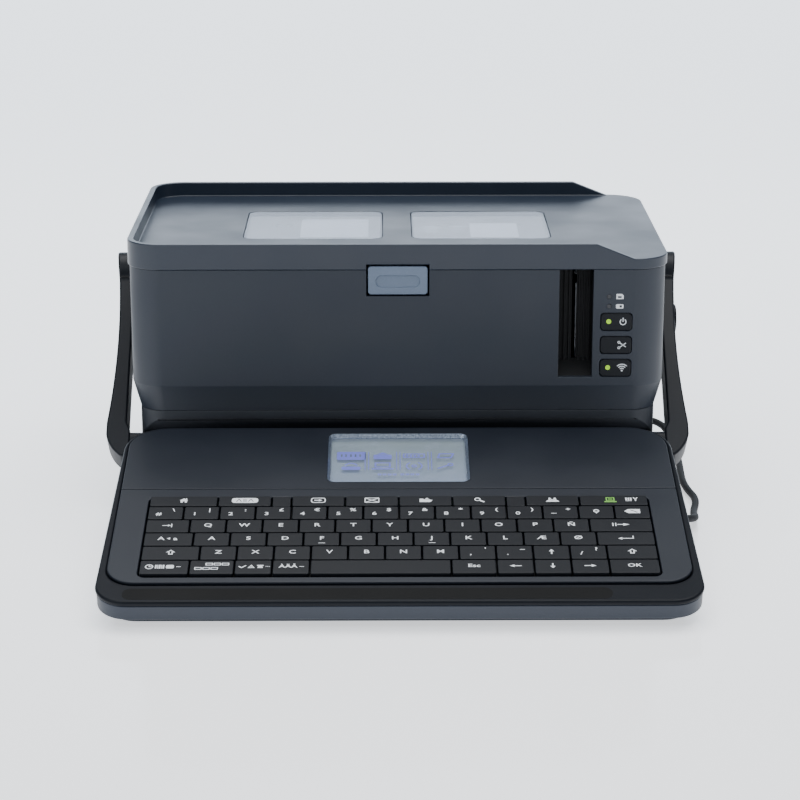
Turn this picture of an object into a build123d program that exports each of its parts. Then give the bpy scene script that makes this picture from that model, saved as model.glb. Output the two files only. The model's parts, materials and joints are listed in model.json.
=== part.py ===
from build123d import *
import os
from math import cos, pi, radians, sin, tan

os.makedirs("parts", exist_ok=True)

# A desktop label maker: a printer unit with a hinged tray cover and a carrying handle folded to the
# front, and a separate sloping keyboard unit joined to it by a short cable.
# Millimetres. X to the right, Y to the back, Z up, origin on the table under the middle of the object.

# ---- Printer body ----
overall_height = 149.0
cover_width = 288.0
printer_depth = 172.0
cover_corner = 19.0
cover_overhang = 1.0
seam_height = 135.2
deck_height = 141.0
crease_height = 71.5
body_bottom = 56.0
skirt_inset_front = 7.5
skirt_inset_rear = 4.0
skirt_inset_side = 3.5
wall = 2.6
foot_height = 3.0
parting_gap = 0.3

# ---- Cover ----
rim_wall = 3.3
deck_thickness = 2.4
ramp_run = 20.0
ramp_foot_from_right = 19.0
window_from_middle = 8.0
window_from_right = 59.5
window_y = (51.0, 123.0)
window_corner = 6.0
window_gap = 0.35
window_thickness = 1.5
window_ledge = 2.0
hinge_inset = 3.5
hinge_drop = 0.8
barrel_radius = 3.0
hinge_pin_radius = 1.2
hinge_clearance = 0.05
inner_ear_x = 62.0
outer_ear_from_right = 21.0
ear_width = 6.0
barrel_gap = 0.5
notch_clearance = 1.2

# ---- Latch ----
latch_half_width = 15.7
latch_low = 121.9
latch_high = 137.1
latch_gap = 0.9
latch_thickness = 3.0

# ---- Front panel ----
slot_width = 18.0
slot_from_right = 40.5
slot_low = 76.5
button_from_right = 28.0
button_width = 16.5
button_height = 9.3
button_heights = {"wireless_button": 81.4, "cut_button": 94.0, "power_button": 106.7}
button_corner = 2.0
button_gap = 0.25
lamp_from_right = 32.1
lamp_heights = (115.2, 120.5)
lamp_radius = 1.2

# ---- Handle ----
pivot_y = 92.0
pivot_z = 112.0
pivot_pin_radius = 4.0
pivot_clearance = 0.05
pivot_pin_reach = 7.0
boss_radius = 12.0
arm_gap = 3.0
arm_thickness = 11.0
arm_waist_depth = 3.5
arm_half_depth = 9.0
arm_end = 121.0
grip_inner = 105.0
grip_outer = 116.0
grip_socket = 2.0
grip_corner = 4.5
fold_angle = 45.0
sweep_clearance = 1.5

# ---- Keyboard unit ----
keyboard_front = -172.0
keyboard_front_height = 15.0
slope_degrees = 12.5
slope_length = 168.0
key_row_width = 251.0
side_taper = 2.5
front_corner = 16.0
rear_corner = 23.0
frame_thickness = 2.8
band_depth = 10.5
band_wall = 2.4
band_inset = 0.6
pan_inset = 6.0
pan_floor = 2.0
panel_front = 15.0
panel_rear = 165.0
panel_split = 102.0
panel_margin = 15.8
frame_margin = 4.7
panel_front_corner = 14.0
panel_rear_corner = 20.0
panel_recess = 1.0
panel_proud = 1.2
panel_gap = 0.2
key_zone = (20.5, 93.2)
key_gap = 0.6
key_top = 2.4
key_bottom = -2.4
display_half_width = 36.6
display_s = (109.0, 158.6)
display_corner = 4.0
letter_pitch = 18.0

# ---- Cable ----
cable_diameter = 4.0
cable_points = [
    (144.5, 146, 9), (150, 146, 9), (155.1, 143.9, 8.2), (159, 140, 7), (161, 134.9, 5.6),
    (161.8, 129, 4.2), (162.3, 121.5, 2.9), (162.9, 111, 2.1), (163, 93, 2.1), (161.6, 70, 2.1),
    (160.2, 48, 2.1), (161.2, 32, 2.1), (163.5, 20, 2.1), (162.9, 9, 2.1), (160.3, -2, 2.1),
    (159.2, -11, 2.9), (158.9, -18.5, 4.2), (158.2, -24.5, 5.6), (156.4, -30, 7), (152.6, -34, 8.2),
    (147.4, -36, 9), (142.4, -36, 9),
]

right_edge = cover_width / 2
slot_x = (right_edge - slot_from_right - slot_width, right_edge - slot_from_right)
button_x = right_edge - button_from_right
lamp_x = right_edge - lamp_from_right
ramp_foot_x = right_edge - ramp_foot_from_right
ramp_top_x = ramp_foot_x - ramp_run
window_x = (window_from_middle, right_edge - window_from_right)
ear_centres = (inner_ear_x, right_edge - outer_ear_from_right)
arm_inner = right_edge + arm_gap
arm_outer = arm_inner + arm_thickness
arm_waist = arm_outer - arm_waist_depth
grip_half_length = arm_inner - grip_socket
key_half_width = key_row_width / 2
panel_half_width = key_half_width + panel_margin
front_half_width = panel_half_width + frame_margin
rear_half_width = front_half_width - side_taper
body_width = cover_width - 2 * cover_overhang
body_front = cover_overhang / 2
body_rear = printer_depth - cover_overhang / 2
body_corner = cover_corner - cover_overhang
base_front = body_front + skirt_inset_front
base_rear = body_rear - skirt_inset_rear
base_width = body_width - 2 * skirt_inset_side
base_corner = body_corner - skirt_inset_side
hinge_y = printer_depth - hinge_inset
hinge_z = seam_height - hinge_drop
deck_underside = deck_height - deck_thickness
floor_top = foot_height + wall
slope = radians(slope_degrees)


def save(piece, name):
    """Label a finished piece and write it as its own STEP file."""
    piece.part.label = name
    export_step(piece.part, f"parts/{name}.step")


def cuboid(x, y, z, mode=Mode.ADD):
    """A box given by its limits along each axis."""
    with Locations(((x[0] + x[1]) / 2, (y[0] + y[1]) / 2, (z[0] + z[1]) / 2)):
        Box(x[1] - x[0], y[1] - y[0], z[1] - z[0], mode=mode)


def rod(centre, radius, length, axis, mode=Mode.ADD):
    """A cylinder centred on a point, along x, y or z."""
    turns = {"x": (0, 90, 0), "y": (90, 0, 0), "z": (0, 0, 0)}
    with Locations(centre):
        Cylinder(radius, length, rotation=turns[axis], mode=mode)


def plan_block(width, y, z, corner, mode=Mode.ADD):
    """An upright block with a rounded rectangular plan."""
    with BuildSketch(Plane.XY.offset(z[0])) as plan:
        with Locations((0, (y[0] + y[1]) / 2)):
            RectangleRounded(width, y[1] - y[0], corner)
    extrude(plan.sketch, amount=z[1] - z[0], mode=mode)


def plan_taper(low, high, mode=Mode.ADD):
    """A loft between two rounded rectangles, each (width, y limits, corner, height)."""
    sections = []
    for width, y, corner, height in (low, high):
        with BuildSketch(Plane.XY.offset(height)) as plan:
            with Locations((0, (y[0] + y[1]) / 2)):
                RectangleRounded(width, y[1] - y[0], corner)
        sections.append(plan.sketch)
    loft(sections, mode=mode)


def front_cut(x, z, corner, depth=8.0):
    """Cut a rounded window through the front wall."""
    with BuildSketch(Plane.XZ.offset(-depth)) as opening:
        with Locations(((x[0] + x[1]) / 2, (z[0] + z[1]) / 2)):
            RectangleRounded(x[1] - x[0], z[1] - z[0], corner)
    extrude(opening.sketch, amount=depth + 2, mode=Mode.SUBTRACT)


# ================= Printer unit =================

screw_x = base_width / 2 - 13.5
screw_spots = [(x, y) for x in (-screw_x, screw_x) for y in (97.0, base_rear - 17.5)]
screw_radius = 1.5
screw_hole_radius = 1.6
screw_head_radius = 3.0
screw_head_height = 2.5
counterbore_depth = 4.0
screw_boss_top = 12.0
post_radius = 4.6

battery_x = 62.0
battery_y = (58.0, 132.0)
port_z = 30.0
inlet_x = -60.0
inlet_radius = 4.9
data_x = -86.0
data_size = (12.0, 10.8)
gland_y, gland_z = cable_points[0][1:]
gland_radius = 3.0
gland_reach = 5.0
cove_radius = grip_inner - sweep_clearance
cove_rear = 30.0

# The tray's front wall is scooped about the handle pivot, so that the folded grip has its place.
with BuildPart() as base_cavity:
    plan_block(base_width - 2 * wall, (base_front + wall, base_rear - wall), (floor_top, body_bottom + 1),
               base_corner - wall)
    with BuildSketch(Plane.YZ.offset(-base_width)):
        with Locations((pivot_y, pivot_z)):
            Circle(cove_radius - wall)
        with Locations((cove_rear + wall, 0)):
            Rectangle(printer_depth, overall_height, align=(Align.MIN, Align.MIN))
    extrude(amount=2 * base_width, mode=Mode.INTERSECT)

with BuildPart() as base_tray:
    plan_block(base_width, (base_front, base_rear), (foot_height, body_bottom), base_corner)
    with BuildSketch(Plane.YZ.offset(-base_width)):
        with BuildLine():
            Polyline((base_front - 5, body_bottom + 1), (base_front - 5, 0), (cove_rear, 0),
                     (cove_rear, body_bottom + 1), close=True)
        make_face()
        with Locations((pivot_y, pivot_z)):
            Circle(cove_radius, mode=Mode.SUBTRACT)
    extrude(amount=2 * base_width, mode=Mode.SUBTRACT)
    add(base_cavity.part, mode=Mode.SUBTRACT)
    # Bosses that take the case screws from below.
    for x, y in screw_spots:
        rod((x, y, (foot_height + screw_boss_top) / 2), 5.5, screw_boss_top - foot_height, "z")
        rod((x, y, screw_boss_top / 2), screw_hole_radius, screw_boss_top + 2, "z", Mode.SUBTRACT)
        rod((x, y, foot_height + counterbore_depth / 2), screw_head_radius + 0.2, counterbore_depth, "z",
            Mode.SUBTRACT)
    # Battery opening, ports at the back and the cable hole in the right wall.
    cuboid((-battery_x, battery_x), battery_y, (foot_height - 1, floor_top + 1), Mode.SUBTRACT)
    rod((inlet_x, base_rear, port_z), inlet_radius, 12, "y", Mode.SUBTRACT)
    cuboid((data_x - data_size[0] / 2, data_x + data_size[0] / 2), (base_rear - 6, base_rear + 1),
           (port_z - data_size[1] / 2, port_z + data_size[1] / 2), Mode.SUBTRACT)
    rod((base_width / 2, gland_y, gland_z), gland_radius, 12, "x", Mode.SUBTRACT)
save(base_tray, "base_tray")

with BuildPart() as battery_cover:
    cover_play = 0.3
    cuboid((-battery_x + cover_play, battery_x - cover_play),
           (battery_y[0] + cover_play, battery_y[1] - cover_play), (foot_height, floor_top))
    with GridLocations(30, 0, 3, 1):
        with Locations((0, battery_y[0] + 10, foot_height)):
            Box(16, 2, 1.6, mode=Mode.SUBTRACT)
save(battery_cover, "battery_cover")

with BuildPart() as battery_pack:
    cuboid((-battery_x + 4, battery_x - 4), (battery_y[0] + 4, battery_y[1] - 4), (floor_top + 0.2, 32))
    fillet(battery_pack.edges().filter_by(Axis.X), 6)
save(battery_pack, "battery_pack")

with BuildPart() as printer_feet:
    for x in (-base_width / 2 + 26, base_width / 2 - 26):
        for y in (cove_rear + 14, base_rear - 16):
            rod((x, y, foot_height / 2), 7, foot_height, "z")
save(printer_feet, "printer_feet")

with BuildPart() as case_screws:
    head_low = foot_height + counterbore_depth - screw_head_height
    head_high = foot_height + counterbore_depth
    for x, y in screw_spots:
        rod((x, y, (head_low + head_high) / 2), screw_head_radius, screw_head_height, "z")
        rod((x, y, (head_high + 20) / 2), screw_radius, 20 - head_high, "z")
        with Locations((x, y, head_low)):
            Box(3.6, 0.9, 1.8, mode=Mode.SUBTRACT)
            Box(0.9, 3.6, 1.8, mode=Mode.SUBTRACT)
save(case_screws, "case_screws")

rear_wall_top = hinge_z - barrel_radius - 1.2
pad_depth = 5.0

with BuildPart() as body_shell:
    upper = (body_width, (body_front, body_rear), body_corner, crease_height)
    lower = (base_width, (base_front, base_rear), base_corner, body_bottom)
    plan_block(body_width, (body_front, body_rear), (crease_height, seam_height), body_corner)
    plan_taper(lower, upper)
    # Handle pivot pads on both sides.
    for side_sign in (-1, 1):
        pad_outer = arm_inner - parting_gap
        pad_inner = body_width / 2 - wall - pad_depth
        rod((side_sign * (pad_outer + pad_inner) / 2, pivot_y, pivot_z), boss_radius + 1.5,
            pad_outer - pad_inner, "x")
    inner_corner = body_corner - wall
    cavity_low = (base_width - 2 * wall, (base_front + wall, base_rear - wall), base_corner - wall,
                  body_bottom)
    cavity_high = (body_width - 2 * wall, (body_front + wall, body_rear - wall), inner_corner,
                   crease_height)
    plan_taper(cavity_low, cavity_high, Mode.SUBTRACT)
    plan_block(body_width - 2 * (wall + pad_depth), (body_front + wall, body_rear - wall),
               (crease_height, seam_height + 1), inner_corner, Mode.SUBTRACT)
    for side_sign in (-1, 1):
        strip = sorted((side_sign * (body_width / 2 - wall - pad_depth), side_sign * (body_width / 2 - wall)))
        for y in ((body_front + inner_corner, pivot_y - boss_radius - 1.5),
                  (pivot_y + boss_radius + 1.5, body_rear - inner_corner)):
            cuboid(strip, y, (crease_height, seam_height + 1), Mode.SUBTRACT)
        cuboid(strip, (pivot_y - boss_radius - 2, pivot_y + boss_radius + 2),
               (crease_height, pivot_z - boss_radius - 1.5), Mode.SUBTRACT)
        rod((side_sign * body_width / 2, pivot_y, pivot_z), pivot_pin_radius, 30, "x", Mode.SUBTRACT)
    # Front openings: latch, tape slot, three buttons, two lamps.
    latch_hole = latch_half_width + latch_gap
    cuboid((-latch_hole, latch_hole), (-1, body_front + wall + 1), (latch_low - latch_gap, seam_height + 1),
           Mode.SUBTRACT)
    cuboid(slot_x, (-1, body_front + wall + 1), (slot_low, seam_height + 1), Mode.SUBTRACT)
    for height in button_heights.values():
        front_cut((button_x - button_width / 2 - button_gap, button_x + button_width / 2 + button_gap),
                  (height - button_height / 2 - button_gap, height + button_height / 2 + button_gap),
                  button_corner)
    for height in lamp_heights:
        rod((lamp_x, body_front, height), lamp_radius, 8, "y", Mode.SUBTRACT)
    # The rear wall stops below the cover's hinge barrel, and ears stand up to hold the pins.
    cuboid((-cover_width / 2 + 8, cover_width / 2 - 8), (hinge_y - 4, printer_depth + 1),
           (rear_wall_top, seam_height + 1), Mode.SUBTRACT)
    for x in [s * c for s in (-1, 1) for c in ear_centres]:
        cuboid((x - ear_width / 2, x + ear_width / 2), (hinge_y - 2.4, body_rear),
               (rear_wall_top - 4, hinge_z))
        rod((x, hinge_y, hinge_z), barrel_radius - 0.2, ear_width, "x")
        rod((x, hinge_y, hinge_z), hinge_pin_radius, ear_width + 1, "x", Mode.SUBTRACT)
save(body_shell, "body_shell")

with BuildPart() as handle_pivot_pins:
    pin_inner = body_width / 2 - wall - pad_depth
    pin_outer = arm_inner + pivot_pin_reach
    for side_sign in (-1, 1):
        rod((side_sign * (pin_inner + pin_outer) / 2, pivot_y, pivot_z), pivot_pin_radius,
            pin_outer - pin_inner, "x")
        rod((side_sign * (pin_inner - 1), pivot_y, pivot_z), pivot_pin_radius + 2.5, 2, "x")
save(handle_pivot_pins, "handle_pivot_pins")

with BuildPart() as cover_hinge_pins:
    pin_ends = (ear_centres[0] - ear_width / 2, ear_centres[1] + ear_width / 2)
    for side_sign in (-1, 1):
        rod((side_sign * sum(pin_ends) / 2, hinge_y, hinge_z), hinge_pin_radius, pin_ends[1] - pin_ends[0],
            "x")
save(cover_hinge_pins, "cover_hinge_pins")

# ---- Inner chassis: a deck with two cassette wells, the mechanism bay and four legs ----
chassis_top = 128.4
chassis_sheet = 2.4
well_wall = 1.8
well_floor = 84.0
well_x = (window_x[0] - 2.5, window_x[1] + 1.5)
well_y = (window_y[0] - 2.5, window_y[1] + 4.0)
bay_x = (well_x[1] + well_wall, body_width / 2 - 12.0)
bay_y = (5.0, 82.0)

with BuildPart() as inner_chassis:
    plan_block(body_width - 2 * wall - 12, (body_front + wall + 4, body_rear - wall - 7),
               (chassis_top - chassis_sheet, chassis_top), 10)
    for side_sign in (-1, 1):
        well = sorted((side_sign * (well_x[0] - well_wall), side_sign * (well_x[1] + well_wall)))
        cuboid(well, (well_y[0] - well_wall, well_y[1] + well_wall), (well_floor - well_wall, chassis_top))
    for side_sign in (-1, 1):
        well = sorted((side_sign * well_x[0], side_sign * well_x[1]))
        cuboid(well, well_y, (well_floor, chassis_top + 1), Mode.SUBTRACT)
    cuboid(bay_x, bay_y, (chassis_top - chassis_sheet - 1, chassis_top + 1), Mode.SUBTRACT)
    cuboid((slot_x[0] - 4, bay_x[1]), (bay_y[0], well_y[0] - well_wall),
           (chassis_top - chassis_sheet - 1, chassis_top + 1), Mode.SUBTRACT)
    cuboid((-latch_half_width - 2, latch_half_width + 2), (0, 16), (chassis_top - 5, chassis_top + 1),
           Mode.SUBTRACT)
    for x, y in screw_spots:
        rod((x, y, (screw_boss_top + chassis_top - 1) / 2), post_radius,
            chassis_top - 1 - screw_boss_top, "z")
        rod((x, y, screw_boss_top + 5), screw_radius, 10.2, "z", Mode.SUBTRACT)
save(inner_chassis, "inner_chassis")

# ---- Cassettes ----
cassette_play = 0.6
cassette_top = 137.4
cassette_shell = 1.4


with BuildPart() as tape_cassettes:
    # Two thin-walled cases, each with two spools showing through holes in its top.
    cassette_x = (well_x[0] + cassette_play, well_x[1] - cassette_play)
    cassette_y = (well_y[0] + cassette_play, well_y[1] - cassette_play)
    width, depth = cassette_x[1] - cassette_x[0], cassette_y[1] - cassette_y[0]
    for side_sign in (-1, 1):
        middle = (side_sign * sum(cassette_x) / 2, sum(cassette_y) / 2)
        with BuildSketch(Plane.XY.offset(well_floor)):
            with Locations(middle):
                RectangleRounded(width, depth, 5)
        extrude(amount=cassette_top - well_floor)
        with BuildSketch(Plane.XY.offset(well_floor + cassette_shell)):
            with Locations(middle):
                RectangleRounded(width - 2 * cassette_shell, depth - 2 * cassette_shell, 5 - cassette_shell)
        extrude(amount=cassette_top - well_floor - 2 * cassette_shell, mode=Mode.SUBTRACT)
        for spool_x in (middle[0] - 18, middle[0] + 20):
            spool_y = cassette_y[1] - 24
            rod((spool_x, spool_y, cassette_top), 5, 6, "z", Mode.SUBTRACT)
            rod((spool_x, spool_y, (well_floor + cassette_top) / 2), 4, cassette_top - well_floor - 1, "z")
            rod((spool_x, spool_y, cassette_top), 2.2, 12, "z", Mode.SUBTRACT)
save(tape_cassettes, "tape_cassettes")

# ---- Print and feed mechanism, beside the cassette's outlet ----
tape_x = (slot_x[0] + slot_x[1]) / 2
mechanism_z = (78.0, 80.0)
platen_radius = 6.0
platen_shaft_radius = 2.0
shaft_clearance = 0.05
platen = (tape_x + 0.4 + platen_radius, 50.0)
platen_span = (86.0, 122.0)
shaft_top = 125.0
gear_module = 0.8
gear_z = (72.0, 76.0)
platen_wheel = 19.2
idler_wheel = 24.0
pinion_wheel = 9.6
idler_axle_radius = 1.5
motor_shaft_radius = 1.0


def teeth_on(wheel):
    """The number of teeth that gives a wheel the pitch diameter there is room for."""
    return round(wheel / gear_module)


def pitch_radius(teeth):
    return gear_module * teeth / 2


def on_circle(centre, radius, degrees):
    return (centre[0] + radius * cos(radians(degrees)), centre[1] + radius * sin(radians(degrees)))


def tooth_outline(teeth, first):
    """Points of a spur gear about the origin, with one tooth centred on the angle called first."""
    radius = pitch_radius(teeth)
    root = radius - 1.2 * gear_module
    tip = radius + 0.85 * gear_module
    points = []
    for tooth in range(teeth):
        for reach, share in ((root, -0.31), (tip, -0.12), (tip, 0.12), (root, 0.31)):
            angle = radians(first + (tooth + share) * 360 / teeth)
            points.append((reach * cos(angle), reach * sin(angle)))
    return points


def spur_gear(centre, teeth, z, bore, first):
    with BuildPart() as gear:
        with BuildSketch(Plane.XY.offset(z[0])):
            with BuildLine():
                Polyline(*[(centre[0] + px, centre[1] + py) for px, py in tooth_outline(teeth, first)],
                         close=True)
            make_face()
            with Locations(centre):
                Circle(bore, mode=Mode.SUBTRACT)
        extrude(amount=z[1] - z[0])
    return gear


platen_teeth = teeth_on(platen_wheel)
idler_teeth = teeth_on(idler_wheel)
pinion_teeth = teeth_on(pinion_wheel)
to_idler = 6.0
to_pinion = 82.0
idler = on_circle(platen, pitch_radius(platen_teeth) + pitch_radius(idler_teeth), to_idler)
pinion = on_circle(idler, pitch_radius(idler_teeth) + pitch_radius(pinion_teeth), to_pinion)
idler_first = to_idler + 180 + 180 / idler_teeth
idler_step = 360 / idler_teeth
pinion_offset = (to_pinion - idler_first) % idler_step / idler_step
pinion_first = to_pinion + 180 + (0.5 + pinion_offset) * 360 / pinion_teeth

platen_gear = spur_gear(platen, platen_teeth, gear_z, platen_shaft_radius, to_idler)
save(platen_gear, "platen_gear")
idler_gear = spur_gear(idler, idler_teeth, gear_z, idler_axle_radius + shaft_clearance, idler_first)
save(idler_gear, "idler_gear")
motor_pinion = spur_gear(pinion, pinion_teeth, gear_z, motor_shaft_radius, pinion_first)
with motor_pinion:
    rod((*pinion, (gear_z[0] + gear_z[1]) / 2 - 3), motor_shaft_radius, gear_z[1] - gear_z[0] + 6, "z")
save(motor_pinion, "motor_pinion")

with BuildPart() as platen_shaft:
    rod((*platen, (gear_z[0] - 1 + shaft_top) / 2), platen_shaft_radius, shaft_top - gear_z[0] + 1, "z")
save(platen_shaft, "platen_shaft")

with BuildPart() as platen_roller:
    rod((*platen, sum(platen_span) / 2), platen_radius, platen_span[1] - platen_span[0], "z")
    rod((*platen, sum(platen_span) / 2), platen_shaft_radius, platen_span[1] - platen_span[0] + 2, "z",
        Mode.SUBTRACT)
save(platen_roller, "platen_roller")

cutter_y = 26.0
cutter_travel = 8.0
blade_edge = tape_x + 1.5
blade_thickness = 1.0
blade_length = 12.0
rack_teeth = 7
cutter_teeth = teeth_on(pinion_wheel)
cutter_z = (81.0, 84.5)
rack_x = (blade_edge + 1, blade_edge + 1 + (rack_teeth + 1) * pi * gear_module)
rack_face = cutter_y + 3.5
cutter_centre = (rack_x[0] + 12.0, rack_face + 0.9 * gear_module + pitch_radius(cutter_teeth))
cutter_motor_z = (50.0, gear_z[0] - 1.5)
motor_radius = 9.0
cutter_motor_radius = 7.0

with BuildPart() as mechanism_frame:
    # A base plate with the idler's axle under it, and a bracket that holds the platen shaft's top.
    cuboid((bay_x[0] + 0.5, bay_x[1] + 3.0), (17.0, 80.0), mechanism_z)
    holder_x = (platen[0] + platen_radius + 3, platen[0] + platen_radius + 5)
    holder_y = (platen[1] - 8, platen[1] + 8)
    holder_top = (123.0, 125.0)
    cuboid(holder_x, holder_y, (mechanism_z[0], holder_top[1]))
    cuboid((platen[0] - 4, holder_x[1]), holder_y, holder_top)
    rod((*idler, (gear_z[0] - 1 + mechanism_z[0]) / 2), idler_axle_radius,
        mechanism_z[0] - gear_z[0] + 1, "z")
    rod((*platen, mechanism_z[0]), platen_shaft_radius + shaft_clearance, 10, "z", Mode.SUBTRACT)
    rod((*platen, holder_top[0]), platen_shaft_radius + shaft_clearance, 8, "z", Mode.SUBTRACT)
    rod((*cutter_centre, mechanism_z[0]), motor_shaft_radius + shaft_clearance, 10, "z", Mode.SUBTRACT)
save(mechanism_frame, "mechanism_frame")

with BuildPart() as print_head:
    head_face = tape_x - 0.4
    cuboid((head_face - 1.2, head_face), (platen[1] - 6, platen[1] + 6), (platen_span[0], platen_span[1]))
    cuboid((head_face - 3.2, head_face - 1.2), (platen[1] - 8, platen[1] + 8),
           (mechanism_z[1], platen_span[1] + 2))
    cuboid((head_face - 5.0, head_face - 1.2), (platen[1] - 8, platen[1] + 8),
           (mechanism_z[1], mechanism_z[1] + 2))
save(print_head, "print_head")

with BuildPart() as feed_motor:
    motor_z = (40.0, 70.6)
    rod((*pinion, sum(motor_z) / 2), motor_radius, motor_z[1] - motor_z[0], "z")
    rod((*pinion, motor_z[1]), motor_shaft_radius + shaft_clearance, 10, "z", Mode.SUBTRACT)
save(feed_motor, "feed_motor")

with BuildPart() as cutter_blade:
    cuboid((blade_edge, blade_edge + blade_length),
           (cutter_y - blade_thickness / 2, cutter_y + blade_thickness / 2), (cutter_z[0], 122.0))
    chamfer(cutter_blade.edges().filter_by(Axis.Z).group_by(Axis.X)[0].sort_by(Axis.Y)[-1], 0.8)
    cuboid(rack_x, (cutter_y - 1.5, rack_face), cutter_z)
    tooth_pitch = pi * gear_module
    with BuildSketch(Plane.XY.offset(cutter_z[0])):
        for tooth in range(rack_teeth):
            tooth_x = rack_x[0] + (tooth + 1) * tooth_pitch
            with BuildLine():
                Polyline((tooth_x - 0.31 * tooth_pitch, rack_face), (tooth_x + 0.31 * tooth_pitch, rack_face),
                         (tooth_x + 0.12 * tooth_pitch, rack_face + 1.6 * gear_module),
                         (tooth_x - 0.12 * tooth_pitch, rack_face + 1.6 * gear_module), close=True)
            make_face()
    extrude(amount=cutter_z[1] - cutter_z[0])
save(cutter_blade, "cutter_blade")

# The pinion is turned so that a gap faces a rack tooth at rest.
rack_phase = ((cutter_centre[0] - rack_x[0]) / tooth_pitch) % 1
cutter_first = -90 + (0.5 - rack_phase) * 360 / cutter_teeth
cutter_pinion = spur_gear(cutter_centre, cutter_teeth, cutter_z, motor_shaft_radius, cutter_first)
with cutter_pinion:
    pinion_low = cutter_motor_z[1] - 5
    rod((*cutter_centre, (pinion_low + cutter_z[1]) / 2), motor_shaft_radius, cutter_z[1] - pinion_low, "z")
save(cutter_pinion, "cutter_pinion")

with BuildPart() as cutter_motor:
    rod((*cutter_centre, sum(cutter_motor_z) / 2), cutter_motor_radius, cutter_motor_z[1] - cutter_motor_z[0],
        "z")
    rod((*cutter_centre, cutter_motor_z[1]), motor_shaft_radius + shaft_clearance, 11, "z", Mode.SUBTRACT)
save(cutter_motor, "cutter_motor")

with BuildPart() as exit_guide:
    guide_x = (slot_x[0] - 2.2, slot_x[1] + 2.2)
    guide_y = (body_front + wall + 0.1, 16.0)
    guide_z = (slot_low - 2.2, 133.0)
    guide_rear = 14.0
    cuboid(guide_x, guide_y, guide_z)
    cuboid(slot_x, (guide_y[0] - 1, guide_rear), (slot_low, guide_z[1] + 1), Mode.SUBTRACT)
    cuboid((tape_x - 1.2, tape_x + 1.2), (guide_rear - 1, guide_y[1] + 1), (slot_low + 6, guide_z[1] + 1),
           Mode.SUBTRACT)
    # The floor of the slot slopes down to the outside.
    with BuildSketch(Plane.YZ.offset(slot_x[0])):
        with BuildLine():
            Polyline((guide_y[0], slot_low), (guide_rear, slot_low), (guide_rear, slot_low + 7), close=True)
        make_face()
    extrude(amount=slot_x[1] - slot_x[0])
    rib_pitch = 2.6
    for rib in range(-3, 4):
        if rib:
            rib_x = tape_x + rib * rib_pitch
            cuboid((rib_x - 0.5, rib_x + 0.5), (guide_rear - 1.4, guide_rear), (slot_low + 5, guide_z[1]))
save(exit_guide, "exit_guide")

# ---- Boards, lamps, ports ----
with BuildPart() as main_board:
    board_z = (36.0, 37.6)
    board_half_width = base_width / 2 - 27.5
    cuboid((-board_half_width, board_half_width), (40, base_rear - 7.5), board_z)
    cuboid((-30, -8), (90, 112), (board_z[1], board_z[1] + 2.4))
    cuboid((14, 30), (96, 108), (board_z[1], board_z[1] + 1.8))
    for cap_x in (50, 62, 74):
        rod((cap_x, 130, board_z[1] + 5), 4, 10, "z")
save(main_board, "main_board")

button_y = body_front - 0.3
button_depth = 3.2
stem_reach = 7.0
lamp_length = 7.6

with BuildPart() as button_board:
    cuboid((button_x - 9.5, button_x + 10.0), (button_y + stem_reach + 1.2, button_y + stem_reach + 2.8),
           (74, 124))
save(button_board, "button_board")

with BuildPart() as status_lamps:
    for height in lamp_heights:
        rod((lamp_x, body_front + lamp_length / 2, height), lamp_radius - 0.05, lamp_length, "y")
save(status_lamps, "status_lamps")

for name, height in button_heights.items():
    with BuildPart() as button:
        with BuildSketch(Plane.XZ.offset(-(button_y + button_depth))):
            with Locations((button_x, height)):
                RectangleRounded(button_width, button_height, button_corner)
        extrude(amount=button_depth)
        fillet(button.faces().sort_by(Axis.Y)[0].edges(), 0.5)
        cuboid((button_x - 2, button_x + 2), (button_y + button_depth - 0.1, button_y + stem_reach - 0.4),
               (height - 2, height + 2))
    save(button, name)

with BuildPart() as dc_inlet:
    inlet_depth = 11.0
    rod((inlet_x, base_rear - inlet_depth / 2, port_z), inlet_radius, inlet_depth, "y")
    rod((inlet_x, base_rear - inlet_depth / 2 + 1.5, port_z), 2.9, inlet_depth, "y", Mode.SUBTRACT)
    rod((inlet_x, base_rear - inlet_depth / 2 - 0.5, port_z), 0.9, inlet_depth - 1, "y")
save(dc_inlet, "dc_inlet")

with BuildPart() as data_port:
    data_depth = 13.0
    half_w, half_h = data_size[0] / 2, data_size[1] / 2
    cuboid((data_x - half_w, data_x + half_w), (base_rear - data_depth, base_rear),
           (port_z - half_h, port_z + half_h))
    cuboid((data_x - half_w + 1, data_x + half_w - 1), (base_rear - data_depth + 2, base_rear + 1),
           (port_z - half_h + 1, port_z + half_h - 1), Mode.SUBTRACT)
    cuboid((data_x - 2.8, data_x + 2.8), (base_rear - data_depth + 1, base_rear - 1.5),
           (port_z - 1.6, port_z + 1.6))
save(data_port, "data_port")

with BuildPart() as printer_gland:
    gland_inner = base_width / 2 - wall - 2
    rod(((gland_inner + base_width / 2) / 2, gland_y, gland_z), gland_radius, base_width / 2 - gland_inner,
        "x")
    with BuildSketch(Plane.YZ.offset(base_width / 2)):
        with Locations((gland_y, gland_z)):
            Circle(4.6)
    with BuildSketch(Plane.YZ.offset(base_width / 2 + gland_reach)):
        with Locations((gland_y, gland_z)):
            Circle(cable_diameter / 2 + 0.5)
    loft()
save(printer_gland, "printer_gland")

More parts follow.
